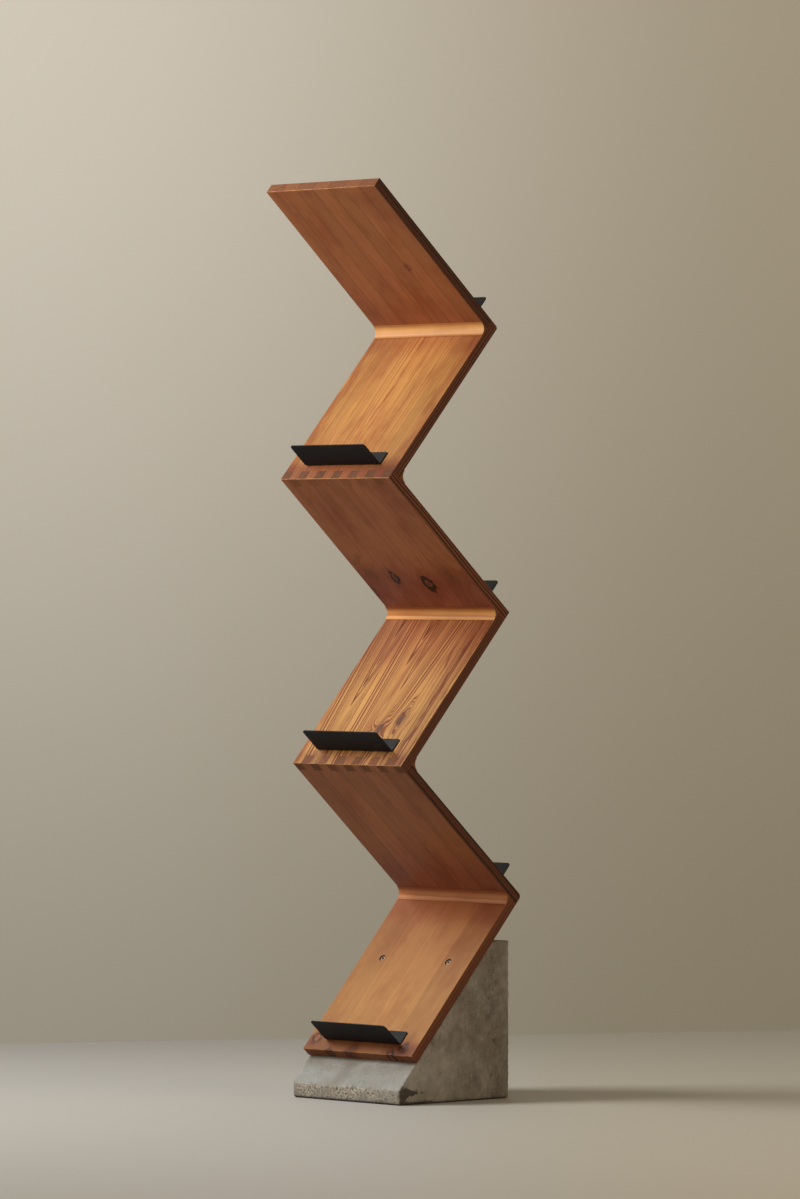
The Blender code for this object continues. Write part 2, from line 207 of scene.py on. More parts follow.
class SteelSettings(bpy.types.PropertyGroup):
    """Sizes and colours of the ledges and fasteners."""
    sheet: size("Sheet", "Thickness of the ledges", 0.002)
    bend_radius: size("Bend", "Outer radius of the ledges' bend", 0.004)
    lip_corner: size("Lip corner", "Rounding of the lips' corners", 0.007)
    leg_corner: size("Leg corner", "Rounding of the legs' corners", 0.003)
    edge: size("Edge", "Rounding of the sheet's edges", 0.0003)
    screw_head: size("Screw head", "Radius of the ledge screws' heads", 0.0035)
    screw_shank: size("Screw shank", "Radius of the ledge screws' shanks", 0.0018)
    bolt_shank: size("Bolt shank", "Radius of the bolts' shanks", 0.003)
    bolt_head: size("Bolt head", "Height of the bolts' heads", 0.006)
    bolt_key: size("Bolt key", "Width of the bolts' sockets across the flats", 0.005)
    bolt_key_depth: size("Key depth", "Depth of the bolts' sockets", 0.003)
    black_coat: swatch("Black coat", "Powder coat on the ledges", 17, 21, 26)
    dusty_coat: swatch("Dusty coat", "Dust on the powder coat", 34, 33, 32)
    black_screw: swatch("Black screw", "Blackened screws", 34, 33, 33)
    rubbed_screw: swatch("Rubbed screw", "Bare spots on the screws", 78, 76, 73)
    zinc: swatch("Zinc", "Zinc plating on the bolts", 152, 138, 122)
    zinc_dull: swatch("Dull zinc", "Handled places on the plating", 104, 92, 80)


class FootSettings(bpy.types.PropertyGroup):
    """Concrete foot."""
    edge_radius: size("Edge", "Radius of the cast edges", 0.0016)
    under_radius: size("Under edge", "Radius of the edges on the floor", 0.0048)
    rear_radius: size("Rear edge", "Radius of the edges at the back", 0.0040)
    corner: size("Corner", "Width cut from the front left corner", 0.0050)
    voxel: size("Mesh", "Distance between points of the worn surface", 0.0023)
    chip_depth: size("Chips", "Depth of the chips along the edges", 0.0026)
    pit_depth: size("Pits", "Depth of the sandy surface", 0.0005)
    wave_depth: size("Waves", "Depth of the form marks on the faces", 0.0010)
    pale: swatch("Pale", "Cement skin", 164, 160, 152)
    dark: swatch("Dark", "Damp and worn places", 138, 131, 122)
    bloom: swatch("Bloom", "Lime bloom on the slope", 179, 183, 181)
    grit_pale: swatch("Pale grit", "Bare sand on the front", 204, 195, 180)
    grit_dark: swatch("Dark grit", "Gaps between the sand on the front", 92, 84, 73)
    pit: swatch("Pits", "Inside of the pinholes", 62, 56, 48)
    stain: swatch("Stain", "Broken, dirty corner", 64, 53, 42)


class StageSettings(bpy.types.PropertyGroup):
    """Floor, light and camera."""
    floor_radius: size("Floor", "Distance at which the floor ends", 2.70)
    floor_fade: size("Floor fade", "Width of the floor's soft end", 0.12)
    floor: swatch("Floor", "Floor colour", 203, 204, 201)
    # Painted light: the floor turns warmer away from the main lamp
    floor_painted_warmth: swatch("Warm floor", "Floor colour away from the main lamp", 202, 199, 186)
    floor_bounce: amount("Floor bounce", "Share of the floor's light that reaches the shelf", 0.62)
    ambient: swatch("Ambient", "Colour of the light from all round", 255, 236, 212)
    ambient_level: amount("Ambient level", "Strength of the light on the lamp's side", 0.31)
    ambient_far: amount("Far ambient", "Strength of the light on the other side", 0.09)
    ambient_back: amount("Back ambient", "Strength of the light added behind the shelf", 0.30)
    wall_near: swatch("Backdrop high and near", "Backdrop at the top on the lamp's side", 210, 201, 185)
    wall_near_low: swatch("Backdrop low and near", "Backdrop at the floor on the lamp's side", 146, 138, 123)
    wall_far: swatch("Backdrop high and far", "Backdrop at the top on the other side", 160, 148, 126)
    wall_far_low: swatch("Backdrop low and far", "Backdrop at the floor on the other side", 128, 118, 97)
    key_power: power("Key", "Power of the main lamp", 68.0)
    key_size: size("Key size", "Side of the main lamp", 1.2)
    key_colour: swatch("Key colour", "Colour of the main lamp", 255, 252, 248)
    fill_power: power("Fill", "Power of the fill lamp", 30.0)
    fill_size: size("Fill size", "Side of the fill lamp", 2.6)
    fill_colour: swatch("Fill colour", "Colour of the fill lamp", 255, 226, 192)
    lens: bpy.props.FloatProperty(name="Lens", description="Focal length", default=206.22, min=1.0,
                                  unit="CAMERA")


class ShelfSettings(bpy.types.PropertyGroup):
    """All settings of the shelf."""
    pine: bpy.props.PointerProperty(type=PineSettings)
    steel: bpy.props.PointerProperty(type=SteelSettings)
    foot: bpy.props.PointerProperty(type=FootSettings)
    stage: bpy.props.PointerProperty(type=StageSettings)


def settings():
    """Return the shelf's settings."""
    return bpy.context.scene.magazine_shelf


# Modelling by hand

ROUND_SIDES = 64
HOLE_SIDES = 48
LARGE_SIDES = 128
# How far a cutter reaches past what it cuts
CUT_PAST = 0.003
# Angles at which faces are shaded smooth, an edge is rounded, and faces count as one plane
SMOOTH_ANGLE = math.radians(42)
SHARP_ANGLE = math.radians(50)
FLAT_ANGLE = math.radians(0.5)


def deselect():
    """Deselect every object."""
    bpy.ops.object.select_all(action="DESELECT")


def named(name):
    """Name the object just added, with its place put into its mesh."""
    piece = bpy.context.object
    piece.name = name
    piece.data.name = name
    bpy.ops.object.transform_apply(location=True, rotation=True, scale=True)
    return piece


def add_cube(name, low, high):
    """Add a cube between two corners."""
    deselect()
    low, high = Vector(low), Vector(high)
    bpy.ops.mesh.primitive_cube_add(size=1.0, location=(low + high) / 2, scale=high - low)
    return named(name)


def add_cylinder(name, radius, low, high, sides, centre=(0.0, 0.0)):
    """Add an upright cylinder between two heights."""
    deselect()
    bpy.ops.mesh.primitive_cylinder_add(vertices=sides, radius=radius, depth=high - low,
                                        location=(*centre, (low + high) / 2))
    return named(name)


def add_cone(name, low_radius, high_radius, low, high, sides, centre=(0.0, 0.0)):
    """Add an upright cone between two heights."""
    deselect()
    bpy.ops.mesh.primitive_cone_add(vertices=sides, radius1=low_radius, radius2=high_radius, depth=high - low,
                                    location=(*centre, (low + high) / 2))
    return named(name)


def activate(piece):
    """Make a piece the only selected one."""
    deselect()
    piece.select_set(True)
    bpy.context.view_layer.objects.active = piece


def edit(piece):
    """Go into edit mode on a piece."""
    activate(piece)
    bpy.ops.object.mode_set(mode="EDIT")


def leave_edit():
    """Go back to object mode."""
    bpy.ops.object.mode_set(mode="OBJECT")


def pick(kind, test):
    """In edit mode, select only the points, edges or faces that pass a test."""
    kinds = ("VERT", "EDGE", "FACE")
    bpy.context.tool_settings.mesh_select_mode = [kind == each for each in kinds]
    bpy.ops.mesh.select_all(action="DESELECT")
    mesh = bpy.context.edit_object.data
    bm = bmesh.from_edit_mesh(mesh)
    found = [item for item in (bm.verts, bm.edges, bm.faces)[kinds.index(kind)] if test(item)]
    if not found:
        raise RuntimeError(f"nothing to select on {mesh.name}")
    for item in found:
        item.select_set(True)
    bm.select_flush_mode()
    bmesh.update_edit_mesh(mesh)


def every(test):
    """Return a test that holds when all points of an edge or face pass."""
    return lambda item: all(test(vert.co) for vert in item.verts)


def close(value, target):
    """Tell whether a coordinate lies at a plane."""
    return abs(value - target) < NEAR


def faces_down(face):
    """Tell whether a face points down."""
    return face.normal.z < -SQUARE_ON


def merge_flat():
    """In edit mode, merge faces that lie in one plane."""
    bpy.ops.mesh.select_all(action="SELECT")
    bpy.ops.mesh.dissolve_limited(angle_limit=FLAT_ANGLE)


def extrude(offset):
    """Extrude what is selected."""
    bpy.ops.mesh.extrude_region_move(TRANSFORM_OT_translate={"value": offset})


def bevel(radius, segments, affect="EDGES"):
    """Round what is selected."""
    bpy.ops.mesh.bevel(offset=radius, offset_type="OFFSET", segments=segments, profile=0.5, affect=affect,
                       clamp_overlap=True)


def slice_off(point, normal):
    """In edit mode, take away what lies beyond a plane and close the cut."""
    bpy.ops.mesh.select_all(action="SELECT")
    bpy.ops.mesh.bisect(plane_co=point, plane_no=normal, use_fill=True, clear_outer=True)


def apply_modifier(piece, kind, **values):
    """Add a modifier and apply it."""
    activate(piece)
    modifier = piece.modifiers.new(kind.lower(), kind)
    for name, value in values.items():
        setattr(modifier, name, value)
    bpy.ops.object.modifier_apply(modifier=modifier.name)


def soften(piece, width):
    """Round the sharp edges of a piece."""
    apply_modifier(piece, "BEVEL", width=width, segments=2, limit_method="ANGLE", angle_limit=SHARP_ANGLE)


def carve(piece, *cutters):
    """Cut shapes out of a piece."""
    for cutter in cutters:
        apply_modifier(piece, "BOOLEAN", operation="DIFFERENCE", solver="EXACT", object=cutter)
        bpy.data.objects.remove(cutter, do_unlink=True)


def put(piece, matrix):
    """Move a piece into a frame, and put its place into its mesh."""
    activate(piece)
    piece.matrix_world = matrix
    bpy.ops.object.transform_apply(location=True, rotation=True, scale=True)


def twin(piece, name):
    """Return a copy of a piece with a mesh of its own."""
    copy = piece.copy()
    copy.data = piece.data.copy()
    copy.name = name
    copy.data.name = name
    bpy.context.scene.collection.objects.link(copy)
    return copy


def smooth(piece):
    """Shade round forms smooth and keep flat faces flat."""
    activate(piece)
    bpy.ops.object.shade_smooth_by_angle(angle=SMOOTH_ANGLE)
    apply_modifier(piece, "WEIGHTED_NORMAL", keep_sharp=True, weight=100)


def deliver(piece, material, slot, *nodes):
    """Give a piece its finish, let it ride on the shelf, and let it stand for its CAD nodes."""
    piece.data.materials.clear()
    piece.data.materials.append(material)
    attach(piece, BODY)
    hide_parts(*nodes)


# Shading by expression

class Field:
    """A value that changes over a surface, held as the socket that gives it. Arithmetic adds Math nodes."""

    def __init__(self, nodes, socket):
        self.nodes = nodes
        self.socket = socket

    def output(self, name):
        """Return another output of the same node."""
        return Field(self.nodes, self.socket.node.outputs[name])

    def __add__(self, other):
        return self.nodes.math("ADD", self, other)

    def __sub__(self, other):
        return self.nodes.math("SUBTRACT", self, other)

    def __rsub__(self, other):
        return self.nodes.math("SUBTRACT", other, self)

    def __mul__(self, other):
        return self.nodes.math("MULTIPLY", self, other)

    def __truediv__(self, other):
        return self.nodes.math("DIVIDE", self, other)

    def __abs__(self):
        return self.nodes.math("ABSOLUTE", self)

    __radd__ = __add__
    __rmul__ = __mul__

    def squared(self):
        """Return the value times itself."""
        return self * self


# Sockets of a Mix node for colours, told by number because their names repeat
MIX_SHARE, MIX_FIRST, MIX_SECOND, MIX_RESULT = 0, 6, 7, 2


class Nodes:
    """A node tree being wired. One method adds any node, and the others name what is used often."""

    def __init__(self, tree):
        self.tree = tree

    def add(self, kind, options=None, values=None, output=0):
        """Add a node, set its options, fill its sockets, and return one of its outputs."""
        node = self.tree.nodes.new(kind)
        for name, value in (options or {}).items():
            if name == "stops":
                while len(node.color_ramp.elements) < len(value):
                    node.color_ramp.elements.new(1.0)
                for element, (position, colour) in zip(node.color_ramp.elements, value):
                    element.position = position
                    element.color = colour
            elif name == "ramp":
                node.color_ramp.interpolation = value
            else:
                setattr(node, name, value)
        for name, value in (values or {}).items():
            self.fill(node.inputs[name], value)
        return Field(self, node.outputs[output])

    def fill(self, socket, value):
        """Set a socket or link a value to it."""
        if isinstance(value, Field):
            self.tree.links.new(value.socket, socket)
        else:
            socket.default_value = value

    def math(self, operation, *values):
        """Work out a number."""
        return self.add("ShaderNodeMath", {"operation": operation}, dict(enumerate(values)))

    def vector(self, operation, *values):
        """Work out a vector."""
        return self.add("ShaderNodeVectorMath", {"operation": operation}, dict(enumerate(values)))

    def larger(self, first, second):
        """Return the larger of two numbers."""
        return self.math("MAXIMUM", first, second)

    def bell(self, value, middle, reach):
        """Return 1 where a value is at a middle, falling off smoothly on both sides."""
        return self.math("EXPONENT", ((value - middle) / reach).squared() * -1.0)

    def dot(self, vector, direction):
        """Return how far a vector goes along a direction."""
        return self.add("ShaderNodeVectorMath", {"operation": "DOT_PRODUCT"}, {0: vector, 1: direction},
                        "Value")

    def split(self, vector):
        """Return the three parts of a vector."""
        first = self.add("ShaderNodeSeparateXYZ", None, {"Vector": vector})
        return first, first.output(1), first.output(2)

    def place(self, source="Object", matrix=None):
        """Return the place, or the facing, of a point along the axes of a frame."""
        vector = self.add("ShaderNodeTexCoord", None, None, source)
        if matrix is None:
            return vector
        moved = (0.0, 0.0, 0.0) if source == "Normal" else matrix.to_translation()
        return self.add("ShaderNodeMapping", {"vector_type": "TEXTURE"},
                        {"Vector": vector, "Location": moved, "Rotation": matrix.to_euler()})

    def noise(self, vector, scale, detail=2.0, rough=0.5, bend=0.0):
        """Return cloudy noise from 0 to 1. A scale of three numbers stretches it."""
        if not isinstance(scale, float):
            vector = self.vector("MULTIPLY", vector, scale)
            scale = 1.0
        return self.add("ShaderNodeTexNoise", None, {"Vector": vector, "Scale": scale, "Detail": detail,
                                                     "Roughness": rough, "Distortion": bend})

    def cells(self, vector, scale):
        """Return the distance to the nearest of many scattered points."""
        return self.add("ShaderNodeTexVoronoi", None, {"Vector": vector, "Scale": scale}, "Distance")

    def chance(self, number):
        """Return a random number from 0 to 1 that goes with a whole number."""
        return self.add("ShaderNodeTexWhiteNoise", {"noise_dimensions": "1D"}, {"W": number}, "Value")

    def step(self, value, low, high):
        """Return a soft step from 0 at low to 1 at high."""
        return self.add("ShaderNodeMapRange", {"interpolation_type": "SMOOTHSTEP"},
                        {"Value": value, "From Min": low, "From Max": high})

    def mix(self, share, first, second, mode="MIX"):
        """Blend two colours."""
        return self.add("ShaderNodeMix", {"data_type": "RGBA", "blend_type": mode},
                        {MIX_SHARE: share, MIX_FIRST: first, MIX_SECOND: second}, MIX_RESULT)

    def tint(self, share, colour, kept):
        """Return a colour of which only some red, green and blue is kept."""
        return self.mix(share, colour, (*kept, 1.0), "MULTIPLY")

    def seen(self):
        """Return 1 for what the camera sees, also in metal or glass, and 0 for light on the shelf."""
        rays = self.add("ShaderNodeLightPath", None, None, "Is Camera Ray")
        mirrored = self.larger(rays.output("Is Glossy Ray"), rays.output("Is Transmission Ray"))
        return self.larger(rays, mirrored)

    def dim(self, colour, level):
        """Return a colour at a level of brightness."""
        start = colour if isinstance(colour, Field) else colour[:3]
        return self.add("ShaderNodeVectorMath", {"operation": "SCALE"}, {0: start, "Scale": level})

    def bump(self, height, distance, strength=1.0):
        """Return the normal of a surface with this relief."""
        return self.add("ShaderNodeBump", None,
                        {"Height": height, "Distance": distance, "Strength": strength})


class Finish(Nodes):
    """A material being made."""

    def __init__(self, name):
        self.material = bpy.data.materials.new(name)
        self.material.use_nodes = True
        super().__init__(self.material.node_tree)
        self.surface = self.tree.nodes["Principled BSDF"]

    def shade(self, **sockets):
        """Fill sockets of the surface, whose names are written with _ for a space."""
        for name, value in sockets.items():
            self.fill(self.surface.inputs[name.replace("_", " ")], value)


# Pine

# A stave is (pith to the side, pith depth, brightness, taper), each from 0 to 1. A knot's bark is how strong
# its dark rim is. A band is a streak of red wood, or of late wood where its darkness is 1. A tint is the
# share of red, green and blue that is kept, and a shade is painted shade, whose tint grows between its two
# heights.
Knot = namedtuple("Knot", "x y radius stretch darkness bark")
Band = namedtuple("Band", "x half_width strength darkness", defaults=(0.0,))
Shade = namedtuple("Shade", "start stop tint")

# Ring is the distance between growth lines, contrast their strength, and wander how far they stray. Below
# the height low the wood is darkened by a tint of painted shade: under the ledge's lip on the boards that
# rise to the back, and in the inner corner on the others. Glue is how dark the glue lines are, or pale where
# it is less than 0, and end how bright the end grain is. Edge is how strongly growth lines show on the side
# edges, and edge_tone how bright these are. On a cove strip, edge is how red its upper edge is, and glue its
# lower, where the red is painted shade.
PineLook = namedtuple("PineLook", "staves ring contrast wander blotch dashes tint low low_tint glue end "
                                  "bands knots edge edge_tone shades",
                      defaults=(0.0, (), 0.0, 1.0, (), (), 1.0, 1.0, ()))
# What a stave's traits span: how far the pith lies to the side and below the face, brightness and taper
PITH_SIDE = 0.080
PITH_NEAR = -0.026
PITH_DEPTH = 0.100
STAVE_TONE = 0.50
TAPER = 0.60
GLUE_LINE = 0.0015
EDGE_RING = 0.0068

BOARD_LOOKS = {
    1: PineLook(
        staves=((0.75, 0.8, 0.36, 0.53), (0.2, 0.9, 0.62, 0.49), (0.8, 0.7, 0.70, 0.52),
                (0.35, 0.6, 0.44, 0.47)),
        ring=0.0068, contrast=0.10, wander=0.016, blotch=0.45, dashes=0.35, tint=(1.05, 1.10, 1.05),
        low=0.036, low_tint=(0.60, 0.46, 0.54), glue=-0.32, edge=0.35, edge_tone=0.85,
        bands=(Band(0.115, 0.050, 0.32),),
        knots=(Knot(-0.130, 0.029, 0.0120, 1.2, 0.10, 0.8), Knot(0.116, 0.016, 0.0115, 1.2, 1.00, 0.6),
               Knot(0.090, 0.002, 0.0095, 1.0, 0.70, 0.9), Knot(-0.016, 0.008, 0.0100, 1.0, 0.65, 0.3),
               Knot(-0.080, -0.001, 0.0095, 0.7, 0.95, 0.6), Knot(-0.030, -0.002, 0.0070, 0.7, 0.90, 0.5)),
        shades=(Shade(0.10, 0.30, (0.78, 0.68, 0.70)), Shade(0.295, 0.345, (0.87, 0.67, 0.69)))),
    # Boards 2, 4 and 6 face down, and their tint is darker and redder than the others': painted shade
    2: PineLook(
        staves=((0.3, 0.5, 0.38, 0.53), (0.7, 0.8, 0.68, 0.48), (0.4, 0.6, 0.40, 0.53),
                (0.6, 0.7, 0.62, 0.47), (0.3, 0.7, 0.46, 0.52)),
        ring=0.0062, contrast=0.18, wander=0.018, blotch=0.45, dashes=0.70, tint=(0.83, 0.67, 0.78),
        low=0.150, low_tint=(0.83, 0.78, 1.08), glue=0.55, edge=1.3, edge_tone=1.05),
    3: PineLook(
        staves=((0.62, 0.04, 0.40, 0.33), (0.66, 0.10, 0.62, 0.38), (0.36, 0.06, 0.60, 0.37),
                (0.95, 0.30, 0.46, 0.47)),
        ring=0.0072, contrast=2.80, wander=0.007, blotch=0.35, dashes=0.55, tint=(1.29, 1.44, 1.29),
        low=0.036, low_tint=(0.74, 0.65, 0.71), glue=0.10, edge=0.25,
        bands=(Band(0.143, 0.005, 0.8, 1.0), Band(0.122, 0.006, 1.0, 1.0), Band(0.093, 0.004, 0.9, 1.0),
               Band(-0.004, 0.012, 0.5), Band(-0.146, 0.014, 0.7)),
        knots=(Knot(0.068, 0.116, 0.0072, 2.4, 0.85, 0.6), Knot(0.028, 0.088, 0.0075, 1.7, 0.85, 0.5)),
        shades=(Shade(0.13, 0.35, (0.71, 0.52, 0.58)),)),
    4: PineLook(
        staves=((0.4, 0.3, 0.50, 0.46), (0.65, 0.5, 0.38, 0.44), (0.3, 0.4, 0.62, 0.46),
                (0.6, 0.3, 0.44, 0.43)),
        ring=0.0085, contrast=0.32, wander=0.026, blotch=0.60, dashes=0.60, tint=(0.88, 0.70, 0.845),
        low=0.160, low_tint=(0.79, 0.72, 1.05), glue=0.30, end=0.62, edge=1.15, edge_tone=1.35,
        knots=(Knot(-0.0575, 0.120, 0.0094, 1.7, 0.75, 1.1), Knot(0.023, 0.1025, 0.0130, 1.6, 0.75, 1.5),
               Knot(-0.148, 0.080, 0.0070, 2.2, 0.55, 0.3), Knot(0.100, 0.118, 0.0200, 1.3, 0.60, 0.0),
               Knot(-0.118, 0.128, 0.0180, 1.3, 0.60, 0.0))),
    5: PineLook(
        staves=((0.95, 0.5, 0.34, 0.51), (0.98, 0.6, 0.60, 0.49), (0.04, 0.6, 0.78, 0.51),
                (0.96, 0.5, 0.62, 0.51), (0.05, 0.5, 0.28, 0.49)),
        ring=0.0050, contrast=0.85, wander=0.008, blotch=0.60, dashes=1.0, tint=(1.05, 1.05, 0.84),
        low=0.046, low_tint=(0.57, 0.385, 0.48), glue=0.15, end=1.7, edge=0.7,
        bands=(Band(-0.007, 0.003, 0.9), Band(-0.140, 0.018, 0.65), Band(0.138, 0.022, 0.65),
               Band(0.052, 0.003, 0.5)),
        shades=(Shade(0.30, 0.35, (0.85, 0.72, 0.78)),)),
    6: PineLook(
        staves=((0.3, 0.6, 0.46, 0.53), (0.8, 0.5, 0.62, 0.47), (0.2, 0.7, 0.40, 0.54),
                (0.7, 0.6, 0.60, 0.46), (0.4, 0.5, 0.42, 0.52), (0.6, 0.6, 0.64, 0.48),
                (0.3, 0.5, 0.46, 0.51)),
        ring=0.0064, contrast=0.14, wander=0.016, blotch=0.50, dashes=0.60, tint=(0.86, 0.67, 0.745),
        low=0.120, low_tint=(0.94, 0.92, 1.02), glue=0.50, end=1.1, edge=0.9, edge_tone=0.95,
        knots=(Knot(0.067, 0.190, 0.0040, 1.5, 0.25, 0.6),)),
}
COVE_LOOK = PineLook(staves=((0.9, 0.6, 0.5, 0.50),), ring=0.0062, contrast=1.80, wander=0.005, blotch=0.25,
                     dashes=0.45, tint=(1.11, 1.05, 0.94))
COVE_SEED = 10.0
# Painted shade and light: the lowest strip, in its shaded corner, is tinted darkest, and the top one palest
COVE_LOOKS = {1: COVE_LOOK._replace(tint=(0.86, 0.71, 0.89), dashes=1.3),
              5: COVE_LOOK._replace(tint=(1.22, 1.33, 1.46), contrast=1.00, glue=0.6, edge=0.3)}


def blend(share, first, second):
    """Return the colour that lies between two others."""
    return tuple(low + (high - low) * share for low, high in zip(first, second))


class PineFinish(Finish):
    """Oiled pine, glued up from staves side by side. Its grain runs along the Y of a frame."""

    def __init__(self, name, matrix, width, look, seed, early, late):
        super().__init__(name)
        self.look, self.seed, self.width = look, seed, width
        self.early, self.late = early, late
        self.local = self.place("Object", matrix)
        self.x, self.y, self.z = self.split(self.local)
        self.beside, self.ahead, self.above = self.split(self.place("Normal", matrix))
        self.lay_staves()
        self.quiver = self.noise(self.own, (70.0, 9.0, 70.0), 2.0) - 0.5
        self.fade = self.step(self.noise(self.own, (22.0, 3.0, 22.0), 2.0), 0.25, 0.65) * 0.4 + 0.6
        self.fibre = self.noise(self.own, (700.0, 10.0, 700.0), 2.0)
        self.speck = self.noise(self.local, (500.0, 60.0, 500.0), 2.0)
        self.patch = self.noise(self.local, (13.0, 9.0, 13.0), 3.0, 0.6)
        self.end = self.step(abs(self.ahead), 0.6, 0.85)
        self.find_knots()
        self.grow_rings()
        colour = self.shade_heights(self.colour_faces())
        if len(look.staves) > 1:
            colour = self.paint_arris_highlights(self.colour_ends(self.colour_sides(colour)))
            colour = self.draw_glue_lines(colour)
        else:
            colour = self.colour_ends(self.redden_strip(colour))
        for knot, reach in self.knots:
            colour = self.draw_knot(colour, knot, reach)
        pine = settings().pine
        relief = self.fibre * 0.2 + self.grain * 0.5
        self.shade(Base_Color=colour, Specular_IOR_Level=0.2, Normal=self.bump(relief, pine.ring_relief, 0.7),
                   Roughness=pine.sheen + self.fibre * 0.12 + self.end * 0.18 - self.grain * 0.06)

    def lay_staves(self):
        """Find the stave that a point lies in, its traits, and a place in the noise that is its own."""
        count = len(self.look.staves)
        self.stave_width = self.width / count
        strip = (self.x + self.width / 2) / self.stave_width
        stave = self.math("FLOOR", strip)
        self.in_stave = strip - stave - 0.5
        stops = [(number / count, traits) for number, traits in enumerate(self.look.staves)]
        traits = self.add("ShaderNodeValToRGB", {"stops": stops, "ramp": "CONSTANT"}, {"Fac": strip / count})
        self.pith_side, self.pith_depth, self.tone = self.split(traits)
        self.taper = (traits.output("Alpha") - 0.5) * TAPER
        shift = self.add("ShaderNodeCombineXYZ", None, {0: stave * 3.7, 1: stave * 1.9, 2: self.seed * 5.3})
        self.own = self.vector("ADD", self.local, shift)

    def find_knots(self):
        """Pair each knot with how far a point is from it, in knot radii."""
        shift = self.add("ShaderNodeTexNoise", None, {"Vector": self.local, "Scale": 70.0, "Detail": 1.0},
                         "Color")
        shift_x, shift_y = self.split(shift)[:2]
        rough = (self.noise(self.local, 95.0, 2.0) + self.noise(self.local, 380.0, 2.0) - 1.0) * 0.4
        self.knots = []
        for knot in self.look.knots:
            along = (self.y - knot.y) / (knot.radius * knot.stretch) + (shift_y - 0.5)
            beside = ((self.x - knot.x) / knot.radius + (shift_x - 0.5)) * (along.squared() * 0.35 + 1.0)
            self.knots.append((knot, self.math("SQRT", beside.squared() + along.squared()) + rough))

    def growth_lines(self, depth, spacing, seed, spread):
        """Return the share of late wood: lines of uneven strength, each sharp on its outer side."""
        uneven = self.add("ShaderNodeTexNoise", {"noise_dimensions": "1D"},
                          {"W": depth / spacing + seed * 17.0, "Scale": 0.22, "Detail": 1.0})
        rings = depth / spacing + uneven * spread
        ring = self.math("FLOOR", rings)
        growth = rings - ring
        late = self.step(growth, 0.26, 0.84) * (1 - self.step(growth, 0.90, 1.0))
        return late * (self.chance(ring + seed) * 0.8 + 0.2)

    def grow_rings(self):
        """Work out the growth lines round the pith, bent round the knots and clearer beside them."""
        wander = self.noise(self.own, (9.0, 2.2, 9.0), 2.0) - 0.5
        push = wander * self.look.wander + self.quiver * 0.0016
        clearer = self.look.contrast
        for _knot, reach in self.knots:
            pull = self.math("EXPONENT", reach.squared() * -0.12)
            push = push + pull * (2.6 * self.look.ring)
            clearer = pull * 0.3 + clearer
        across = self.in_stave * self.stave_width - (self.pith_side - 0.5) * (2 * PITH_SIDE)
        below = self.z + (self.pith_depth * PITH_DEPTH + PITH_NEAR)
        from_pith = self.math("SQRT", across.squared() + below.squared())
        depth = from_pith + self.y * self.taper + push
        self.rings = self.growth_lines(depth, self.look.ring, self.seed, 5.0)
        self.grain = self.rings * self.fade * clearer

    def colour_faces(self):
        """Return the colour of the faces: growth lines, red bands and patches, resin dashes and clouds."""
        look = self.look
        red = settings().pine.red_streak
        colour = self.mix(self.grain, self.early, self.late)
        wobble = (self.noise(self.local, (30.0, 11.0, 30.0), 3.0) - 0.5) * 0.030
        lobes = self.noise(self.local, (60.0, 17.0, 60.0), 2.0)
        for band in look.bands:
            near = self.bell(self.x + wobble, band.x, band.half_width)
            share = self.step(near * (lobes * 1.7), 0.35, 0.90) * (self.fade * band.strength)
            colour = self.mix(share, colour, blend(band.darkness, red, self.late))
        dash = self.step(self.noise(self.own, (330.0, 13.0, 330.0), 2.0), 0.56, 0.70)
        cloud = self.noise(self.own, (16.0, 6.0, 16.0), 3.0, 0.55)
        colour = self.mix(self.step(self.patch, 0.42, 0.75) * look.blotch, colour, red)
        colour = self.mix(dash * (look.dashes * 0.40), colour, self.late)
        level = (self.tone - 0.5) * STAVE_TONE + self.fibre * 0.12 + cloud * (look.blotch * 0.5) + 0.86
        return self.tint(1.0, self.dim(colour, level), look.tint)

    def shade_heights(self, colour):
        """Return the colour with painted shade: darkened at the lower end, and by the shades further up."""
        low = self.look.low
        uneven = self.patch - 0.5
        # Painted shade at the lower end: under the ledge's lip on boards that rise to the back, in the inner
        # corner on the others
        if low:
            above = self.step(self.y + uneven * (low * 0.5), low * 0.55, low * 1.15)
            colour = self.tint(1 - above, colour, self.look.low_tint)
        # Painted shade further up, towards the inner corner where the board above shades this one
        for start, stop, tint in self.look.shades:
            height = self.y + uneven * ((stop - start) * 0.3)
            colour = self.tint(self.step(height, start, stop), colour, tint)
        return colour

    def colour_sides(self, colour):
        """Return the colour with growth lines along a board's side edges."""
        pine = settings().pine
        sway = (self.noise(self.own, (4.0, 3.5, 4.0), 2.0) - 0.5) * 0.014 + self.quiver * 0.002
        lines = self.growth_lines(self.z + sway, EDGE_RING, self.seed + 0.5, 1.0)
        wood = self.mix((lines - 0.40) * self.look.edge + 0.54, pine.edge_pale, pine.edge_dark)
        wood = self.dim(wood, (self.fibre * 0.4 + 0.8) * self.look.edge_tone)
        return self.mix(self.step(abs(self.beside), 0.6, 0.85), colour, wood)

    def redden_strip(self, colour):
        """Return the colour reddened along a cove strip's upper and lower edges; on the lower edge the red is
        painted shade.
        """
        upper = self.step(self.z, self.width * 0.12, self.width * 0.42) * (self.look.edge * 0.8)
        lower = self.step(self.x * -1.0, self.width * 0.20, self.width * 0.48) * self.look.glue
        return self.mix(self.larger(upper, lower), colour, settings().pine.red_streak)

    def colour_ends(self, colour):
        """Return the colour with end grain on the ends."""
        level = (self.speck * 0.4 + (self.tone - 0.5) * 0.7 + 0.8) * self.look.end
        wood = self.dim(self.mix(self.rings * 0.6, settings().pine.end_grain, self.late), level)
        return self.mix(self.end * 0.9, colour, wood)

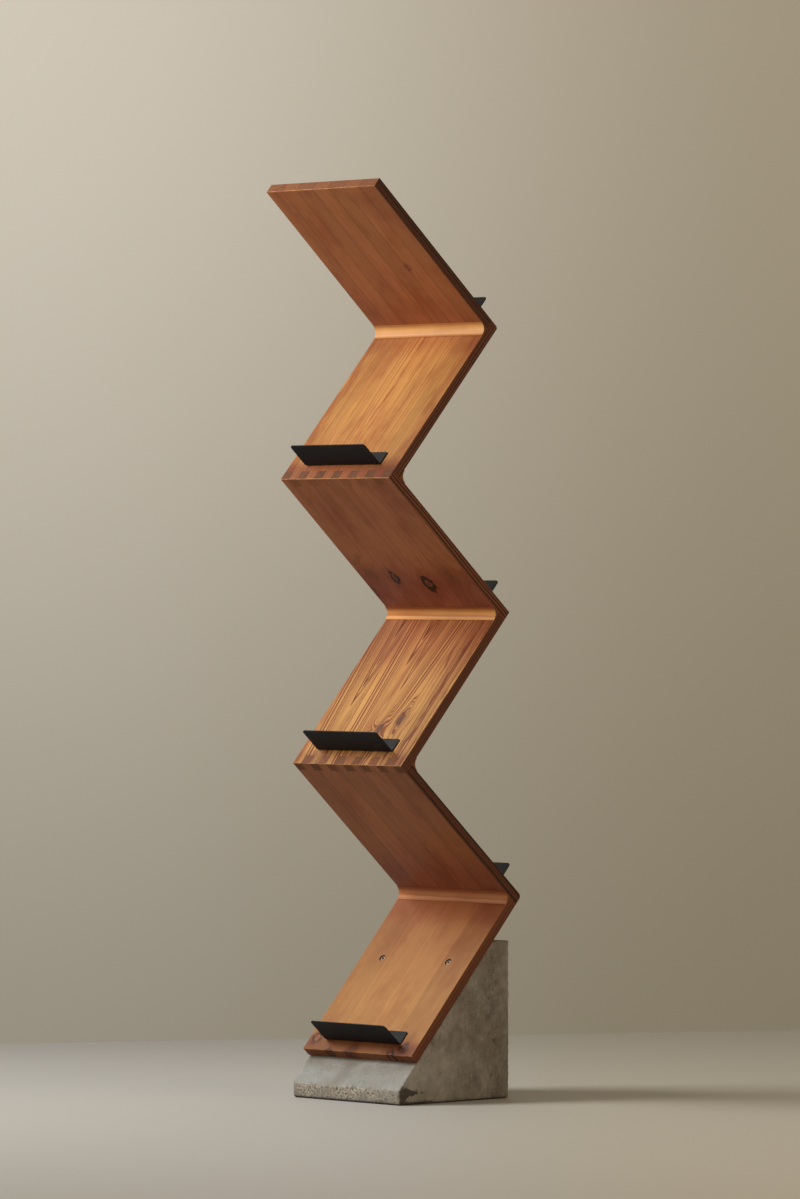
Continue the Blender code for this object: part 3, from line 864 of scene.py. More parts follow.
    def paint_arris_highlights(self, colour):
        """Return the colour pale in places along the edges of the ends: painted highlight, and rubbed wear.
        """
        arris = self.step(abs(self.ahead), 0.10, 0.30) * self.step(self.above, 0.15, 0.40)
        rubbed = self.step(self.noise(self.local, 55.0, 3.0), 0.36, 0.62) * 0.7 + 0.2
        return self.mix(arris * (self.speck * 0.5 + 0.45) * rubbed, colour, settings().pine.cove_early)

    def draw_glue_lines(self, colour):
        """Return the colour with a line between neighbouring staves."""
        to_glue = (0.5 - abs(self.in_stave)) * self.stave_width
        return self.dim(colour, 1 - (1 - self.step(to_glue, 0.0, GLUE_LINE)) * self.look.glue)

    def draw_knot(self, colour, knot, reach):
        """Return the colour with a knot on it: resin-red wood, a ringed heart and a broken bark line."""
        pine = settings().pine
        glow = self.math("EXPONENT", reach.squared() * -0.28)
        core = 1 - self.step(reach, 0.40, 1.05)
        whorl = self.math("SINE", reach * 13.0) * 0.5 + 0.5
        rim = self.step(reach, 0.44, 0.68) * (1 - self.step(reach, 1.04, 1.36))
        broken = self.step(self.noise(self.local, 85.0, 3.0), 0.32, 0.52)
        heart = self.mix(whorl * 0.45 + knot.darkness * 0.6, pine.knot_wood, pine.knot_rim)
        colour = self.mix(glow * 0.65, colour, pine.knot_halo)
        colour = self.mix(core * (0.85 if knot.bark else 0.40), colour, heart)
        return self.mix(rim * (broken * 0.75 + 0.2) * knot.bark, colour, pine.knot_rim)


def make_fingers(board, at_top):
    """In edit mode, cut an end of the board into strips and pull out its own fingers."""
    joint = board.number - 1 if at_top else board.number - 2
    has_sides = UPPER_HAS_SIDE_FINGERS[joint] != at_top
    gap = settings().pine.joint_gap / 2
    pitch = board.width / FINGER_COUNT
    spans = []
    for finger in range(0 if has_sides else 1, FINGER_COUNT, 2):
        left = finger * pitch - board.width / 2
        spans.append((left + gap if finger else left - gap,
                      left + pitch - gap if finger < FINGER_COUNT - 1 else left + pitch + gap))
    root = board.length - board.thickness if at_top else board.thickness
    outward = 1.0 if at_top else -1.0

    def at_root(face):
        return close(face.calc_center_median().y, root) and face.normal.y * outward > SQUARE_ON

    for cut_x in [x for span in spans for x in span if abs(x) < board.width / 2 - NEAR]:
        pick("FACE", at_root)
        bpy.ops.mesh.bisect(plane_co=(cut_x, 0.0, 0.0), plane_no=(1.0, 0.0, 0.0))
    pick("FACE", lambda face: at_root(face) and any(low < face.calc_center_median().x < high
                                                    for low, high in spans))
    extrude((0.0, outward * board.thickness, 0.0))


def make_board(board):
    """Model a board in its own frame: fingers, rounded outer corners, eased edges."""
    pine = settings().pine
    half = board.width / 2
    thick = board.thickness
    has_low = board.number > 1
    has_top = board.number < BOARD_COUNT
    start = thick if has_low else 0.0
    stop = board.length - thick if has_top else board.length
    piece = add_cube(f"pine_board_{board.number}", (-half, start, 0.0), (half, stop, thick))
    edit(piece)
    corners = []
    if has_low:
        make_fingers(board, False)
        corners.append((0.0, not board.rises_back))
    if has_top:
        make_fingers(board, True)
        corners.append((board.length, board.rises_back))
    merge_flat()
    for tip, is_rear in corners:
        height = 0.0 if is_rear else thick
        pick("EDGE", every(lambda co: close(co.y, tip) and close(co.z, height)))
        joint = board.number - 1 if tip else board.number - 2
        bevel(pine.rear_radii[joint // 2] if is_rear else pine.front_radius, segments=8 if is_rear else 3)
    free = {1: 0.0, BOARD_COUNT: board.length}.get(board.number)
    on_side = every(lambda co: close(abs(co.x), half))
    if free is not None:
        pick("EDGE", every(lambda co: close(co.y, free)))
        bevel(pine.front_radius, segments=3)
    pick("EDGE", on_side)
    bevel(pine.ease, segments=2)
    leave_edit()
    return piece


def screw_seats(number):
    """Return the places of a ledge's screw heads in the ledge's frame, and the length of the screws."""
    seats = {}
    for hand in HANDS:
        low, high = box_in(f"ledge_{number}_screw_{hand}", ledge_matrix(number))
        seats[hand] = Vector(((low.x + high.x) / 2, (low.y + high.y) / 2, high.z))
    return seats, high.z - low.z


def bolt_seats(kind):
    """Return the boxes of the bolts or washers in the bottom board's frame."""
    return {hand: box_in(f"foot_{kind}_{hand}", BOARDS[1].matrix) for hand in HANDS}


# Space round a bolt, a sleeve or a screw in its ledge, round a screw in its board, and round a washer
FIT_GAP = 0.0003
PILOT_GAP = 0.0001
COUNTERBORE_GAP = 0.0008


def drill_board(board, piece):
    """Bore a board for its ledge's screws, and the bottom one for the bolts."""
    steel = settings().steel
    to_board = board.matrix.inverted() @ ledge_matrix(board.number)
    seats, length = screw_seats(board.number)
    for seat in seats.values():
        hole = add_cylinder("hole", steel.screw_shank + PILOT_GAP, seat.z - length - NEAR, seat.z + CUT_PAST,
                            HOLE_SIDES, seat.xy)
        put(hole, to_board)
        carve(piece, hole)
    if board.number > 1:
        return
    for low, high in bolt_seats("washer").values():
        centre = ((low + high) / 2).xy
        wide = add_cylinder("hole", (high.x - low.x) / 2 + COUNTERBORE_GAP, low.z, board.thickness + CUT_PAST,
                            HOLE_SIDES, centre)
        narrow = add_cylinder("hole", steel.bolt_shank + FIT_GAP, -CUT_PAST, board.thickness, HOLE_SIDES,
                              centre)
        carve(piece, wide, narrow)


class SHELF_OT_boards(bpy.types.Operator):
    """Make the six finger-jointed boards"""
    bl_idname = "shelf.boards"
    bl_label = "Boards"
    bl_options = {"REGISTER", "UNDO"}

    def execute(self, context):
        pine = settings().pine
        for number, board in BOARDS.items():
            piece = make_board(board)
            drill_board(board, piece)
            smooth(piece)
            put(piece, board.matrix)
            finish = PineFinish(f"oiled_pine_{number}", board.matrix, board.width, BOARD_LOOKS[number],
                                float(number), pine.early_wood, pine.late_wood)
            deliver(piece, finish.material, "oiled_pine", f"board_{number}")
        return {"FINISHED"}


class SHELF_OT_coves(bpy.types.Operator):
    """Make the cove strips in the inner corners"""
    bl_idname = "shelf.coves"
    bl_label = "Cove strips"
    bl_options = {"REGISTER", "UNDO"}

    def execute(self, context):
        pine = settings().pine
        for number in range(1, BOARD_COUNT):
            node = f"cove_strip_{number}"
            matrix = cove_matrix(number)
            low, high = box_in(node, matrix)
            piece = add_cube(f"pine_cove_{number}", low, high)
            radius = high.y - low.y - pine.cove_edge
            hollow = add_cylinder("hollow", radius, low.x - radius, high.x + radius, LARGE_SIDES)
            put(hollow, Matrix.Translation((0.0, high.y, high.z)) @ Matrix.Rotation(math.pi / 2, 4, "Y"))
            carve(piece, hollow)
            soften(piece, pine.ease / 2)
            smooth(piece)
            put(piece, matrix)
            along = matrix @ Matrix.Rotation(-math.pi / 2, 4, "Z")
            finish = PineFinish(f"pale_pine_{number}", along, 2 * high.y, COVE_LOOKS.get(number, COVE_LOOK),
                                COVE_SEED + number, pine.cove_early, pine.cove_late)
            deliver(piece, finish.material, "pale_pine", node)
        return {"FINISHED"}


# Steel

def coat_finish():
    """Return matt black powder coat."""
    steel = settings().steel
    nodes = Finish("black_powder_coat")
    place = nodes.place()
    peel = nodes.noise(place, 190.0, 0.0)
    dust = nodes.noise(place, 24.0, 4.0, 0.6)
    colour = nodes.dim(nodes.mix(nodes.step(dust, 0.45, 0.75) * 0.35, steel.black_coat, steel.dusty_coat),
                       peel * 0.3 + 0.85)
    nodes.shade(Base_Color=colour, Roughness=dust * 0.16 + 0.46, Specular_IOR_Level=0.16,
                Normal=nodes.bump(peel, 0.00004, 0.5))
    return nodes.material


def screw_finish():
    """Return blackened screw steel with rubbed spots."""
    steel = settings().steel
    nodes = Finish("blackened_steel")
    place = nodes.place()
    rub = nodes.step(nodes.noise(place, 700.0, 3.0), 0.52, 0.72)
    colour = nodes.mix(rub * 0.5, steel.black_screw, steel.rubbed_screw)
    nodes.shade(Base_Color=colour, Roughness=0.46 - rub * 0.14, Metallic=0.8,
                Normal=nodes.bump(nodes.noise(place, 1800.0, 2.0), 0.00004, 0.5))
    return nodes.material


def zinc_finish():
    """Return bright zinc plating with handling marks."""
    steel = settings().steel
    nodes = Finish("zinc_plating")
    place = nodes.place()
    spot = nodes.noise(place, 420.0, 4.0, 0.6)
    colour = nodes.mix(nodes.step(spot, 0.45, 0.7), steel.zinc, steel.zinc_dull)
    nodes.shade(Base_Color=colour, Roughness=spot * 0.25 + 0.38, Metallic=1.0,
                Normal=nodes.bump(nodes.noise(place, 2500.0, 2.0), 0.00003, 0.4))
    return nodes.material


# Space round a screw head, and how far a cutting cone stands proud
SINK_GAP = 0.0004
CONE_PAST = 0.0001


def make_ledge(number):
    """Model a ledge in its own frame: a leg, a bend and a lip from one sheet, with two countersunk holes."""
    steel = settings().steel
    low, high = box_in(f"ledge_{number}", ledge_matrix(number))
    deselect()
    bpy.ops.mesh.primitive_plane_add(size=1.0, location=((low.x + high.x) / 2, high.y / 2, low.z))
    bpy.context.object.scale = (high.x - low.x, high.y, 1.0)
    piece = named(f"steel_ledge_{number}")
    edit(piece)
    pick("EDGE", every(lambda co: close(co.y, 0.0)))
    extrude((0.0, 0.0, high.z - low.z))
    pick("EDGE", every(lambda co: close(co.y, 0.0) and close(co.z, low.z)))
    bevel(steel.bend_radius, segments=8)
    pick("VERT", lambda vert: close(vert.co.z, high.z))
    bevel(steel.lip_corner, segments=10, affect="VERTICES")
    pick("VERT", lambda vert: close(vert.co.y, high.y))
    bevel(steel.leg_corner, segments=6, affect="VERTICES")
    bpy.ops.mesh.select_all(action="SELECT")
    bpy.ops.mesh.normals_make_consistent(inside=False)
    leave_edit()
    leg_faces_up = max(piece.data.polygons, key=lambda face: face.normal.z).normal.z > SQUARE_ON
    apply_modifier(piece, "SOLIDIFY", thickness=steel.sheet, offset=1.0 if leg_faces_up else -1.0,
                   use_even_offset=True)
    bore = steel.screw_shank + FIT_GAP
    depth = steel.screw_head - steel.screw_shank
    for seat in screw_seats(number)[0].values():
        sink = add_cone("sink", bore, steel.screw_head + SINK_GAP, seat.z - depth, seat.z + CONE_PAST,
                        HOLE_SIDES, seat.xy)
        hole = add_cylinder("hole", bore, low.z - CUT_PAST, seat.z, HOLE_SIDES, seat.xy)
        carve(piece, sink, hole)
    soften(piece, steel.edge)
    return piece


class SHELF_OT_ledges(bpy.types.Operator):
    """Make the six bent ledges"""
    bl_idname = "shelf.ledges"
    bl_label = "Ledges"
    bl_options = {"REGISTER", "UNDO"}

    def execute(self, context):
        finish = coat_finish()
        for number in BOARDS:
            piece = make_ledge(number)
            smooth(piece)
            put(piece, ledge_matrix(number))
            deliver(piece, finish, "black_coated_steel", f"ledge_{number}")
        return {"FINISHED"}


SCREW_SIDES = 32
# Share of the shank's width that is left at the tip
SCREW_POINT = 0.15
FASTENER_EASE = 0.0002
# No two screws are driven to the same turn
SCREW_TURNS = {"left": 0.4, "right": 0.0}
SCREW_TURN_STEP = 0.7
# Each slot of a screw's cross recess narrows towards its floor
SLOT_HALF_LENGTH = 0.0021
SLOT_HALF_WIDTH = 0.0004
SLOT_DEPTH = 0.0014
SLOT_PAST = 0.001
SLOT_TAPER = (0.35, 0.7, 1.0)


def make_screw(length):
    """Model one countersunk screw, its head at the origin and its tip down Z."""
    steel = settings().steel
    shank = steel.screw_shank
    cone = steel.screw_head - shank
    point = 2 * shank
    piece = add_cone("ledge_screw", shank, steel.screw_head, -cone, 0.0, SCREW_SIDES)
    edit(piece)
    pick("FACE", faces_down)
    extrude((0.0, 0.0, cone + point - length))
    extrude((0.0, 0.0, -point))
    bpy.ops.transform.resize(value=(SCREW_POINT, SCREW_POINT, 1.0), center_override=(0.0, 0.0, -length))
    pick("EDGE", every(lambda co: close(co.z, 0.0)))
    bevel(FASTENER_EASE, segments=2)
    leave_edit()
    for turn in (0.0, math.pi / 2):
        slot = add_cube("slot", (-SLOT_HALF_LENGTH, -SLOT_HALF_WIDTH, -SLOT_DEPTH),
                        (SLOT_HALF_LENGTH, SLOT_HALF_WIDTH, SLOT_PAST))
        edit(slot)
        pick("FACE", faces_down)
        bpy.ops.transform.resize(value=SLOT_TAPER, center_override=(0.0, 0.0, -SLOT_DEPTH))
        leave_edit()
        put(slot, Matrix.Rotation(turn, 4, "Z"))
        carve(piece, slot)
    smooth(piece)
    return piece


class SHELF_OT_ledge_screws(bpy.types.Operator):
    """Make the screws that hold the ledges"""
    bl_idname = "shelf.ledge_screws"
    bl_label = "Ledge screws"
    bl_options = {"REGISTER", "UNDO"}

    def execute(self, context):
        finish = screw_finish()
        model = make_screw(screw_seats(1)[1])
        for number in BOARDS:
            for hand, seat in screw_seats(number)[0].items():
                piece = twin(model, f"ledge_screw_{number}_{hand}")
                turn = Matrix.Rotation(SCREW_TURN_STEP * number + SCREW_TURNS[hand], 4, "Z")
                put(piece, ledge_matrix(number) @ Matrix.Translation(seat) @ turn)
                deliver(piece, finish, "black_screw", f"ledge_{number}_screw_{hand}")
        bpy.data.objects.remove(model, do_unlink=True)
        return {"FINISHED"}


# A bolt's socket has six sides and a cone that leads in, and the two bolts stand at different turns
BOLT_EASE = 0.0006
KEY_SIDES = 6
LEAD_IN_DEPTH = 0.0005
BOLT_TURNS = {"left": 0.30, "right": 0.75}


def make_bolt(low, high):
    """Model one socket-head bolt between two heights, upright at the origin."""
    steel = settings().steel
    head = (high.x - low.x) / 2
    under_head = high.z - steel.bolt_head
    piece = add_cylinder("socket_bolt", head, under_head, high.z, ROUND_SIDES)
    edit(piece)
    pick("EDGE", every(lambda co: close(co.z, high.z)))
    bevel(BOLT_EASE, segments=3)
    pick("FACE", faces_down)
    bpy.ops.mesh.inset(thickness=head - steel.bolt_shank)
    extrude((0.0, 0.0, low.z - under_head))
    pick("EDGE", every(lambda co: close(co.z, low.z)))
    bevel(BOLT_EASE, segments=2)
    leave_edit()
    flat = steel.bolt_key / 2
    key = add_cylinder("key", flat / math.cos(math.pi / KEY_SIDES), high.z - steel.bolt_key_depth,
                       high.z + CUT_PAST, KEY_SIDES)
    lead_in = add_cone("lead_in", flat, flat + BOLT_EASE, high.z - LEAD_IN_DEPTH, high.z + CONE_PAST,
                       ROUND_SIDES)
    carve(piece, key, lead_in)
    smooth(piece)
    return piece


def make_washer(low, high):
    """Model one plain washer between two heights, flat at the origin."""
    piece = add_cylinder("plain_washer", (high.x - low.x) / 2, low.z, high.z, ROUND_SIDES)
    bore = add_cylinder("bore", settings().steel.bolt_shank + FIT_GAP, low.z - CUT_PAST, high.z + CUT_PAST,
                        ROUND_SIDES)
    carve(piece, bore)
    soften(piece, FASTENER_EASE)
    smooth(piece)
    return piece


class SHELF_OT_bolts(bpy.types.Operator):
    """Make the bolts and washers that hold the bottom board, and finish the sleeves in the foot"""
    bl_idname = "shelf.bolts"
    bl_label = "Bolts"
    bl_options = {"REGISTER", "UNDO"}

    def execute(self, context):
        finish = zinc_finish()
        for kind, make, name in (("bolt", make_bolt, "socket_bolt"), ("washer", make_washer, "plain_washer")):
            seats = bolt_seats(kind)
            model = make(*seats["left"])
            for hand, (low, high) in seats.items():
                piece = twin(model, f"{name}_{hand}")
                middle = (low + high) / 2
                turn = Matrix.Rotation(BOLT_TURNS[hand], 4, "Z")
                put(piece, BOARDS[1].matrix @ Matrix.Translation((middle.x, middle.y, 0.0)) @ turn)
                deliver(piece, finish, "zinc_steel", f"foot_{kind}_{hand}")
            bpy.data.objects.remove(model, do_unlink=True)
        for hand in HANDS:
            sleeve = frame["nodes"][f"foot_sleeve_{hand}"]
            sleeve.data.materials.clear()
            sleeve.data.materials.append(finish)
        return {"FINISHED"}


# Concrete

FOOT_NODE = "concrete_foot"
# How far wear reaches from an edge, the space under the bottom board, and which way the cut corner faces
WEAR_REACH = 0.012
SLOPE_GAP = 0.0003
CORNER_CUT = (-0.80, -0.60, 0.0)
SHARP_CAST_ANGLE = math.radians(30)
# The form leaked in an upright band, this far behind the foot's middle
LEAK_Y = 0.110
LEAK_REACH = 0.016
# Where the skin of the front corner is broken: (y, reach along y, height, reach upwards, strength)
BROKEN_SKIN = ((-0.136, 0.017, 0.020, 0.019, 1.00), (-0.100, 0.032, 0.021, 0.006, 0.75),
               (-0.090, 0.045, 0.003, 0.005, 0.75))


class ConcreteFinish(Finish):
    """Cast concrete. The foot stands on the frame's origin, so places count from its middle and the floor."""

    def __init__(self, name):
        super().__init__(name)
        foot = settings().foot
        self.here = self.place()
        self.x, self.y, self.z = self.split(self.here)
        facing = self.place("Normal")
        beside, ahead = self.split(facing)[:2]
        self.on_side = self.step(abs(beside), 0.7, 0.95)
        self.on_front = self.step(ahead * -1.0, 0.86, 0.97)
        self.on_slope = self.step(self.dot(facing, BOARDS[1].matrix.col[2].to_3d()), 0.88, 0.98)
        self.cloud = self.noise(self.here, 9.0, 5.0, 0.6, 0.6)
        self.mottle = self.noise(self.here, 48.0, 6.0, 0.65)
        self.sand = self.noise(self.here, 620.0, 2.0)
        self.crumb = self.noise(self.here, 150.0, 3.0, 0.65)
        self.grit = self.noise(self.here, 240.0, 3.0, 0.7) * 0.8 + self.crumb * 0.2
        leaked = self.bell(self.y + self.noise(self.here, 18.0, 2.0) * 0.03, LEAK_Y, LEAK_REACH)
        self.leak = leaked * self.on_side
        bloom = self.lime_bloom()
        holes = self.pinholes()
        broken = self.broken_skin()
        colour = self.dim(self.cement_skin(bloom), self.brightness())
        colour = self.mix(holes * 0.7, colour, foot.pit)
        colour = self.mix(broken * 0.85, colour, foot.stain)
        colour = self.mix(self.floor_dirt_and_shadow(), colour, foot.pit)
        relief = (self.mottle * 0.5 + self.sand * 0.25 - holes * 0.9 - broken * 0.8
                  + self.grit * (self.on_front * 0.6 + self.leak * 0.6 + 0.1))
        self.shade(Base_Color=colour, Roughness=0.95 - bloom * 0.12 - self.mottle * 0.1,
                   Specular_IOR_Level=0.25, Normal=self.bump(relief, 0.0012, 0.8))

    def lime_bloom(self):
        """Return the share of lime bloom on the slope, which grows towards its lower end, where it is also
        painted light.
        """
        patches = self.step(self.noise(self.here, (15.0, 24.0, 24.0), 5.0, 0.6, 0.4), 0.42, 0.66)
        # Bloom and painted light: paler towards the slope's lower end, away from the board above
        low_bloom_and_light = 1 - self.step(self.z + (self.mottle - 0.5) * 0.03, 0.045, 0.072)
        smear = self.step(self.cloud, 0.36, 0.62) * 0.35 + (1 - self.step(self.x, -0.15, -0.06)) * 0.30 + 0.30
        return self.larger(patches * 0.6, low_bloom_and_light * smear) * self.on_slope

    def cement_skin(self, bloom):
        """Return the colour of the skin: clouds and bloom, bare grit in front, form streaks at the sides."""
        foot = settings().foot
        colour = self.mix(self.step(self.cloud, 0.3, 0.72), foot.dark, foot.pale)
        colour = self.mix(bloom, colour, foot.bloom)
        patchy = 0.5 - self.step(self.x, 0.07, 0.13) * 0.35
        bare = self.step(self.noise(self.here, 26.0, 3.0), 0.40, 0.60) * patchy + 0.40
        bare_sand = self.mix(self.step(self.grit, 0.38, 0.58), foot.grit_dark, foot.grit_pale)
        colour = self.mix(self.on_front * bare, colour, bare_sand)
        streak = self.step(self.noise(self.here, (40.0, 40.0, 5.0), 4.0, 0.6), 0.5, 0.75)
        return self.mix(streak * self.on_side * 0.40, colour, foot.dark)

    def brightness(self):
        """Return how bright the skin is: mottled, with damp, dusty and scabbed places at the sides."""
        wear = self.add("ShaderNodeAttribute", {"attribute_name": "wear"}, None, "Fac")
        level = (self.mottle * 0.40 + self.sand * 0.18 + wear * 0.08
                 + self.leak * (self.grit - 0.5) * 0.8 + 0.72)
        damp = self.step(self.noise(self.here, (22.0, 22.0, 15.0), 5.0, 0.65, 0.8), 0.40, 0.66)
        dust = self.step(self.noise(self.here, (150.0, 150.0, 60.0), 4.0, 0.7), 0.57, 0.70)
        dust = dust * self.step(self.y, -0.06, 0.08)
        scab = self.step(self.noise(self.here, (120.0, 120.0, 48.0), 4.0, 0.7), 0.50, 0.62) * self.leak
        rear = self.step(self.y, -0.04, 0.10)
        low_rear = self.step(self.y, 0.04, 0.12) * (1 - self.step(self.z, 0.0, 0.06))
        side = (dust * 0.55 - damp * 0.24 - scab * 0.32 - low_rear * 0.14 - rear * 0.20
                + (self.mottle - 0.5) * 0.8 + 0.42)
        front = self.step(self.x, -0.15, -0.12) * 0.12 - 0.02
        return level + self.on_side * side + self.on_front * front

    def pinholes(self):
        """Return the share of pinholes, closer together where the form leaked."""
        many = self.step(self.noise(self.here, 13.0, 3.0), 0.46, 0.62)
        pits = (1 - self.step(self.cells(self.here, 210.0), 0.12, 0.28)) * self.larger(many * 0.8, self.leak)
        blows = 1 - self.step(self.cells(self.here, 75.0), 0.04, 0.11)
        return self.larger(pits, blows * (1 - self.on_slope * 0.8))

    def broken_skin(self):
        """Return where the skin is broken: at the front corner, on the right side only."""
        spread = (self.mottle - 0.5) * 1.5 + (self.crumb - 0.5) * 1.5
        for middle, reach, height, rise, strength in BROKEN_SKIN:
            spread = spread + self.bell(self.y, middle, reach) * self.bell(self.z, height, rise) * strength
        return self.step(spread, 0.46, 0.62) * self.on_side * self.step(self.x, 0.0, 0.1)

    def floor_dirt_and_shadow(self):
        """Return the share of dirt along the floor, thickest right above it, where a dark line is painted
        contact shadow.
        """
        splash = 1 - self.step(self.z + (self.mottle - 0.5) * 0.012, 0.0, 0.010)
        # Painted contact shadow: a dark line right above the floor
        line = 1 - self.step(self.z, 0.0015, 0.0055)
        return self.larger(splash * 0.45, line * 0.8)


def foot_planes(low, high, slope_point, slope_normal):
    """Return the planes of the foot as (point, outward normal)."""
    return ((low, Vector((0.0, 0.0, -1.0))), (high, Vector((0.0, 0.0, 1.0))), (low, Vector((0.0, -1.0, 0.0))),
            (high, Vector((0.0, 1.0, 0.0))), (low, -ACROSS), (high, ACROSS), (slope_point, slope_normal))


def rough_texture(name, scale, contrast, depth=3):
    """Return a cloud texture for displacement."""
    texture = bpy.data.textures.new(name, "CLOUDS")
    texture.noise_scale = scale
    texture.noise_depth = depth
    texture.contrast = contrast
    return texture


def weigh_wear(piece, low, high, planes):
    """Weigh the points for the chips and for the rough skin, and return how near an edge each point is."""
    worn = piece.vertex_groups.new(name="worn")
    open_faces = piece.vertex_groups.new(name="open_faces")
    shares = []
    for vert in piece.data.vertices:
        # At an edge, a point is close to two planes
        depths = sorted((point - vert.co).dot(normal) for point, normal in planes)
        share = max(0.0, 1.0 - depths[1] / WEAR_REACH)
        lifted = min(1.0, max(0.0, (vert.co.z - low.z) / WEAR_REACH))
        off_back = min(1.0, max(0.0, (high.y - vert.co.y) / WEAR_REACH))
        shares.append(share)
        # Edges on the floor and at the back are worn less
        worn.add([vert.index], share * share * (0.35 + 0.65 * lifted) * (0.4 + 0.6 * off_back), "REPLACE")
        open_faces.add([vert.index], lifted, "REPLACE")
    return shares


def make_foot():
    """Model the cast foot: a block cut to a wedge, worn at its edges."""
    foot = settings().foot
    low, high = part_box(FOOT_NODE)
    board = BOARDS[1]
    slope_normal = board.matrix.col[2].to_3d()
    # The slope lies just under the bottom board
    slope_point = board.matrix.to_translation() - slope_normal * SLOPE_GAP
    piece = add_cube("cast_foot", low, high)
    edit(piece)
    slice_off(slope_point, slope_normal)
    slice_off((low.x + foot.corner, low.y, low.z), CORNER_CUT)
    pick("EDGE", every(lambda co: close(co.z, low.z)))
    bevel(foot.under_radius, segments=3)
    pick("EDGE", every(lambda co: close(co.y, high.y)))
    bevel(foot.rear_radius, segments=4)
    merge_flat()
    pick("EDGE", lambda edge: edge.calc_face_angle(0.0) > SHARP_CAST_ANGLE)
    bevel(foot.edge_radius, segments=2)
    leave_edit()
    apply_modifier(piece, "REMESH", mode="VOXEL", voxel_size=foot.voxel)
    shares = weigh_wear(piece, low, high, foot_planes(low, high, slope_point, slope_normal))
    for group, depth, middle, texture in (
            ("worn", foot.chip_depth, 0.35, rough_texture("chips", scale=0.009, contrast=2.4)),
            ("open_faces", foot.wave_depth, 0.5, rough_texture("waves", scale=0.09, contrast=1.0, depth=1)),
            ("open_faces", foot.pit_depth, 0.5, rough_texture("pits", scale=0.006, contrast=1.6))):
        apply_modifier(piece, "DISPLACE", texture=texture, strength=-depth, mid_level=middle,
                       texture_coords="LOCAL", vertex_group=group)
    wear = piece.data.attributes.new("wear", "FLOAT", "POINT")
    wear.data.foreach_set("value", shares)
    piece.vertex_groups.clear()
    for hand in HANDS:
        sleeve_low, sleeve_high = box_in(f"foot_sleeve_{hand}", board.matrix)
        radius = (sleeve_high.x - sleeve_low.x) / 2 + FIT_GAP
        hole = add_cylinder("hole", radius, sleeve_low.z - FIT_GAP, CUT_PAST, HOLE_SIDES,
                            ((sleeve_low + sleeve_high) / 2).xy)
        put(hole, board.matrix)
        carve(piece, hole)
    activate(piece)
    bpy.ops.object.shade_smooth_by_angle(angle=SMOOTH_ANGLE)
    return piece


class SHELF_OT_foot(bpy.types.Operator):
    """Make the cast concrete foot"""
    bl_idname = "shelf.foot"
    bl_label = "Foot"
    bl_options = {"REGISTER", "UNDO"}

    def execute(self, context):
        deliver(make_foot(), ConcreteFinish("cast_concrete").material, "concrete", FOOT_NODE)
        return {"FINISHED"}


# Stage

CAMERA_PLACE = Vector((9.4887, -8.8621, 0.9916))
CAMERA_YAW = math.radians(46.958)
CAMERA_PITCH = math.radians(-0.2199)
CAMERA_RIGHT = Vector((math.cos(CAMERA_YAW), math.sin(CAMERA_YAW), 0.0))
CAMERA_AWAY = Vector((-math.sin(CAMERA_YAW), math.cos(CAMERA_YAW), 0.0))
SENSOR = 36.0
VIEW_REACH = 60.0
KEY_PLACE = (-1.50, -1.61, 2.40)
FILL_PLACE = (3.8, 1.2, 1.6)
LAMP_TARGET = Vector((0.0, 0.0, 0.85))
# The floor ends in a straight line behind the shelf: this far off, in this direction
FLOOR_BACK = Vector((-0.876, 0.482, 0.0))
FLOOR_BACK_REACH = 1.60
# Painted light: the floor darkens by this much for each metre along X and along Y
FLOOR_PAINTED_FALLOFF = Vector((-0.118, 0.020, 0.0))


def add_camera():
    """Add the camera."""
    data = bpy.data.cameras.new("camera")
    data.lens = settings().stage.lens
    data.sensor_width = SENSOR
    data.clip_end = VIEW_REACH
    camera = bpy.data.objects.new("camera", data)
    camera.location = CAMERA_PLACE
    camera.rotation_euler = (math.pi / 2 + CAMERA_PITCH, 0.0, CAMERA_YAW)
    bpy.context.scene.collection.objects.link(camera)
    bpy.context.scene.camera = camera


def add_lamp(name, place, watts, side, colour):
    """Add a soft square lamp that faces the shelf."""
    data = bpy.data.lights.new(name, "AREA")
    data.energy = watts
    data.size = side
    data.color = colour[:3]
    lamp = bpy.data.objects.new(name, data)
    lamp.location = place
    lamp.rotation_euler = (LAMP_TARGET - Vector(place)).to_track_quat("-Z", "Y").to_euler()
    lamp.visible_camera = False
    bpy.context.scene.collection.objects.link(lamp)


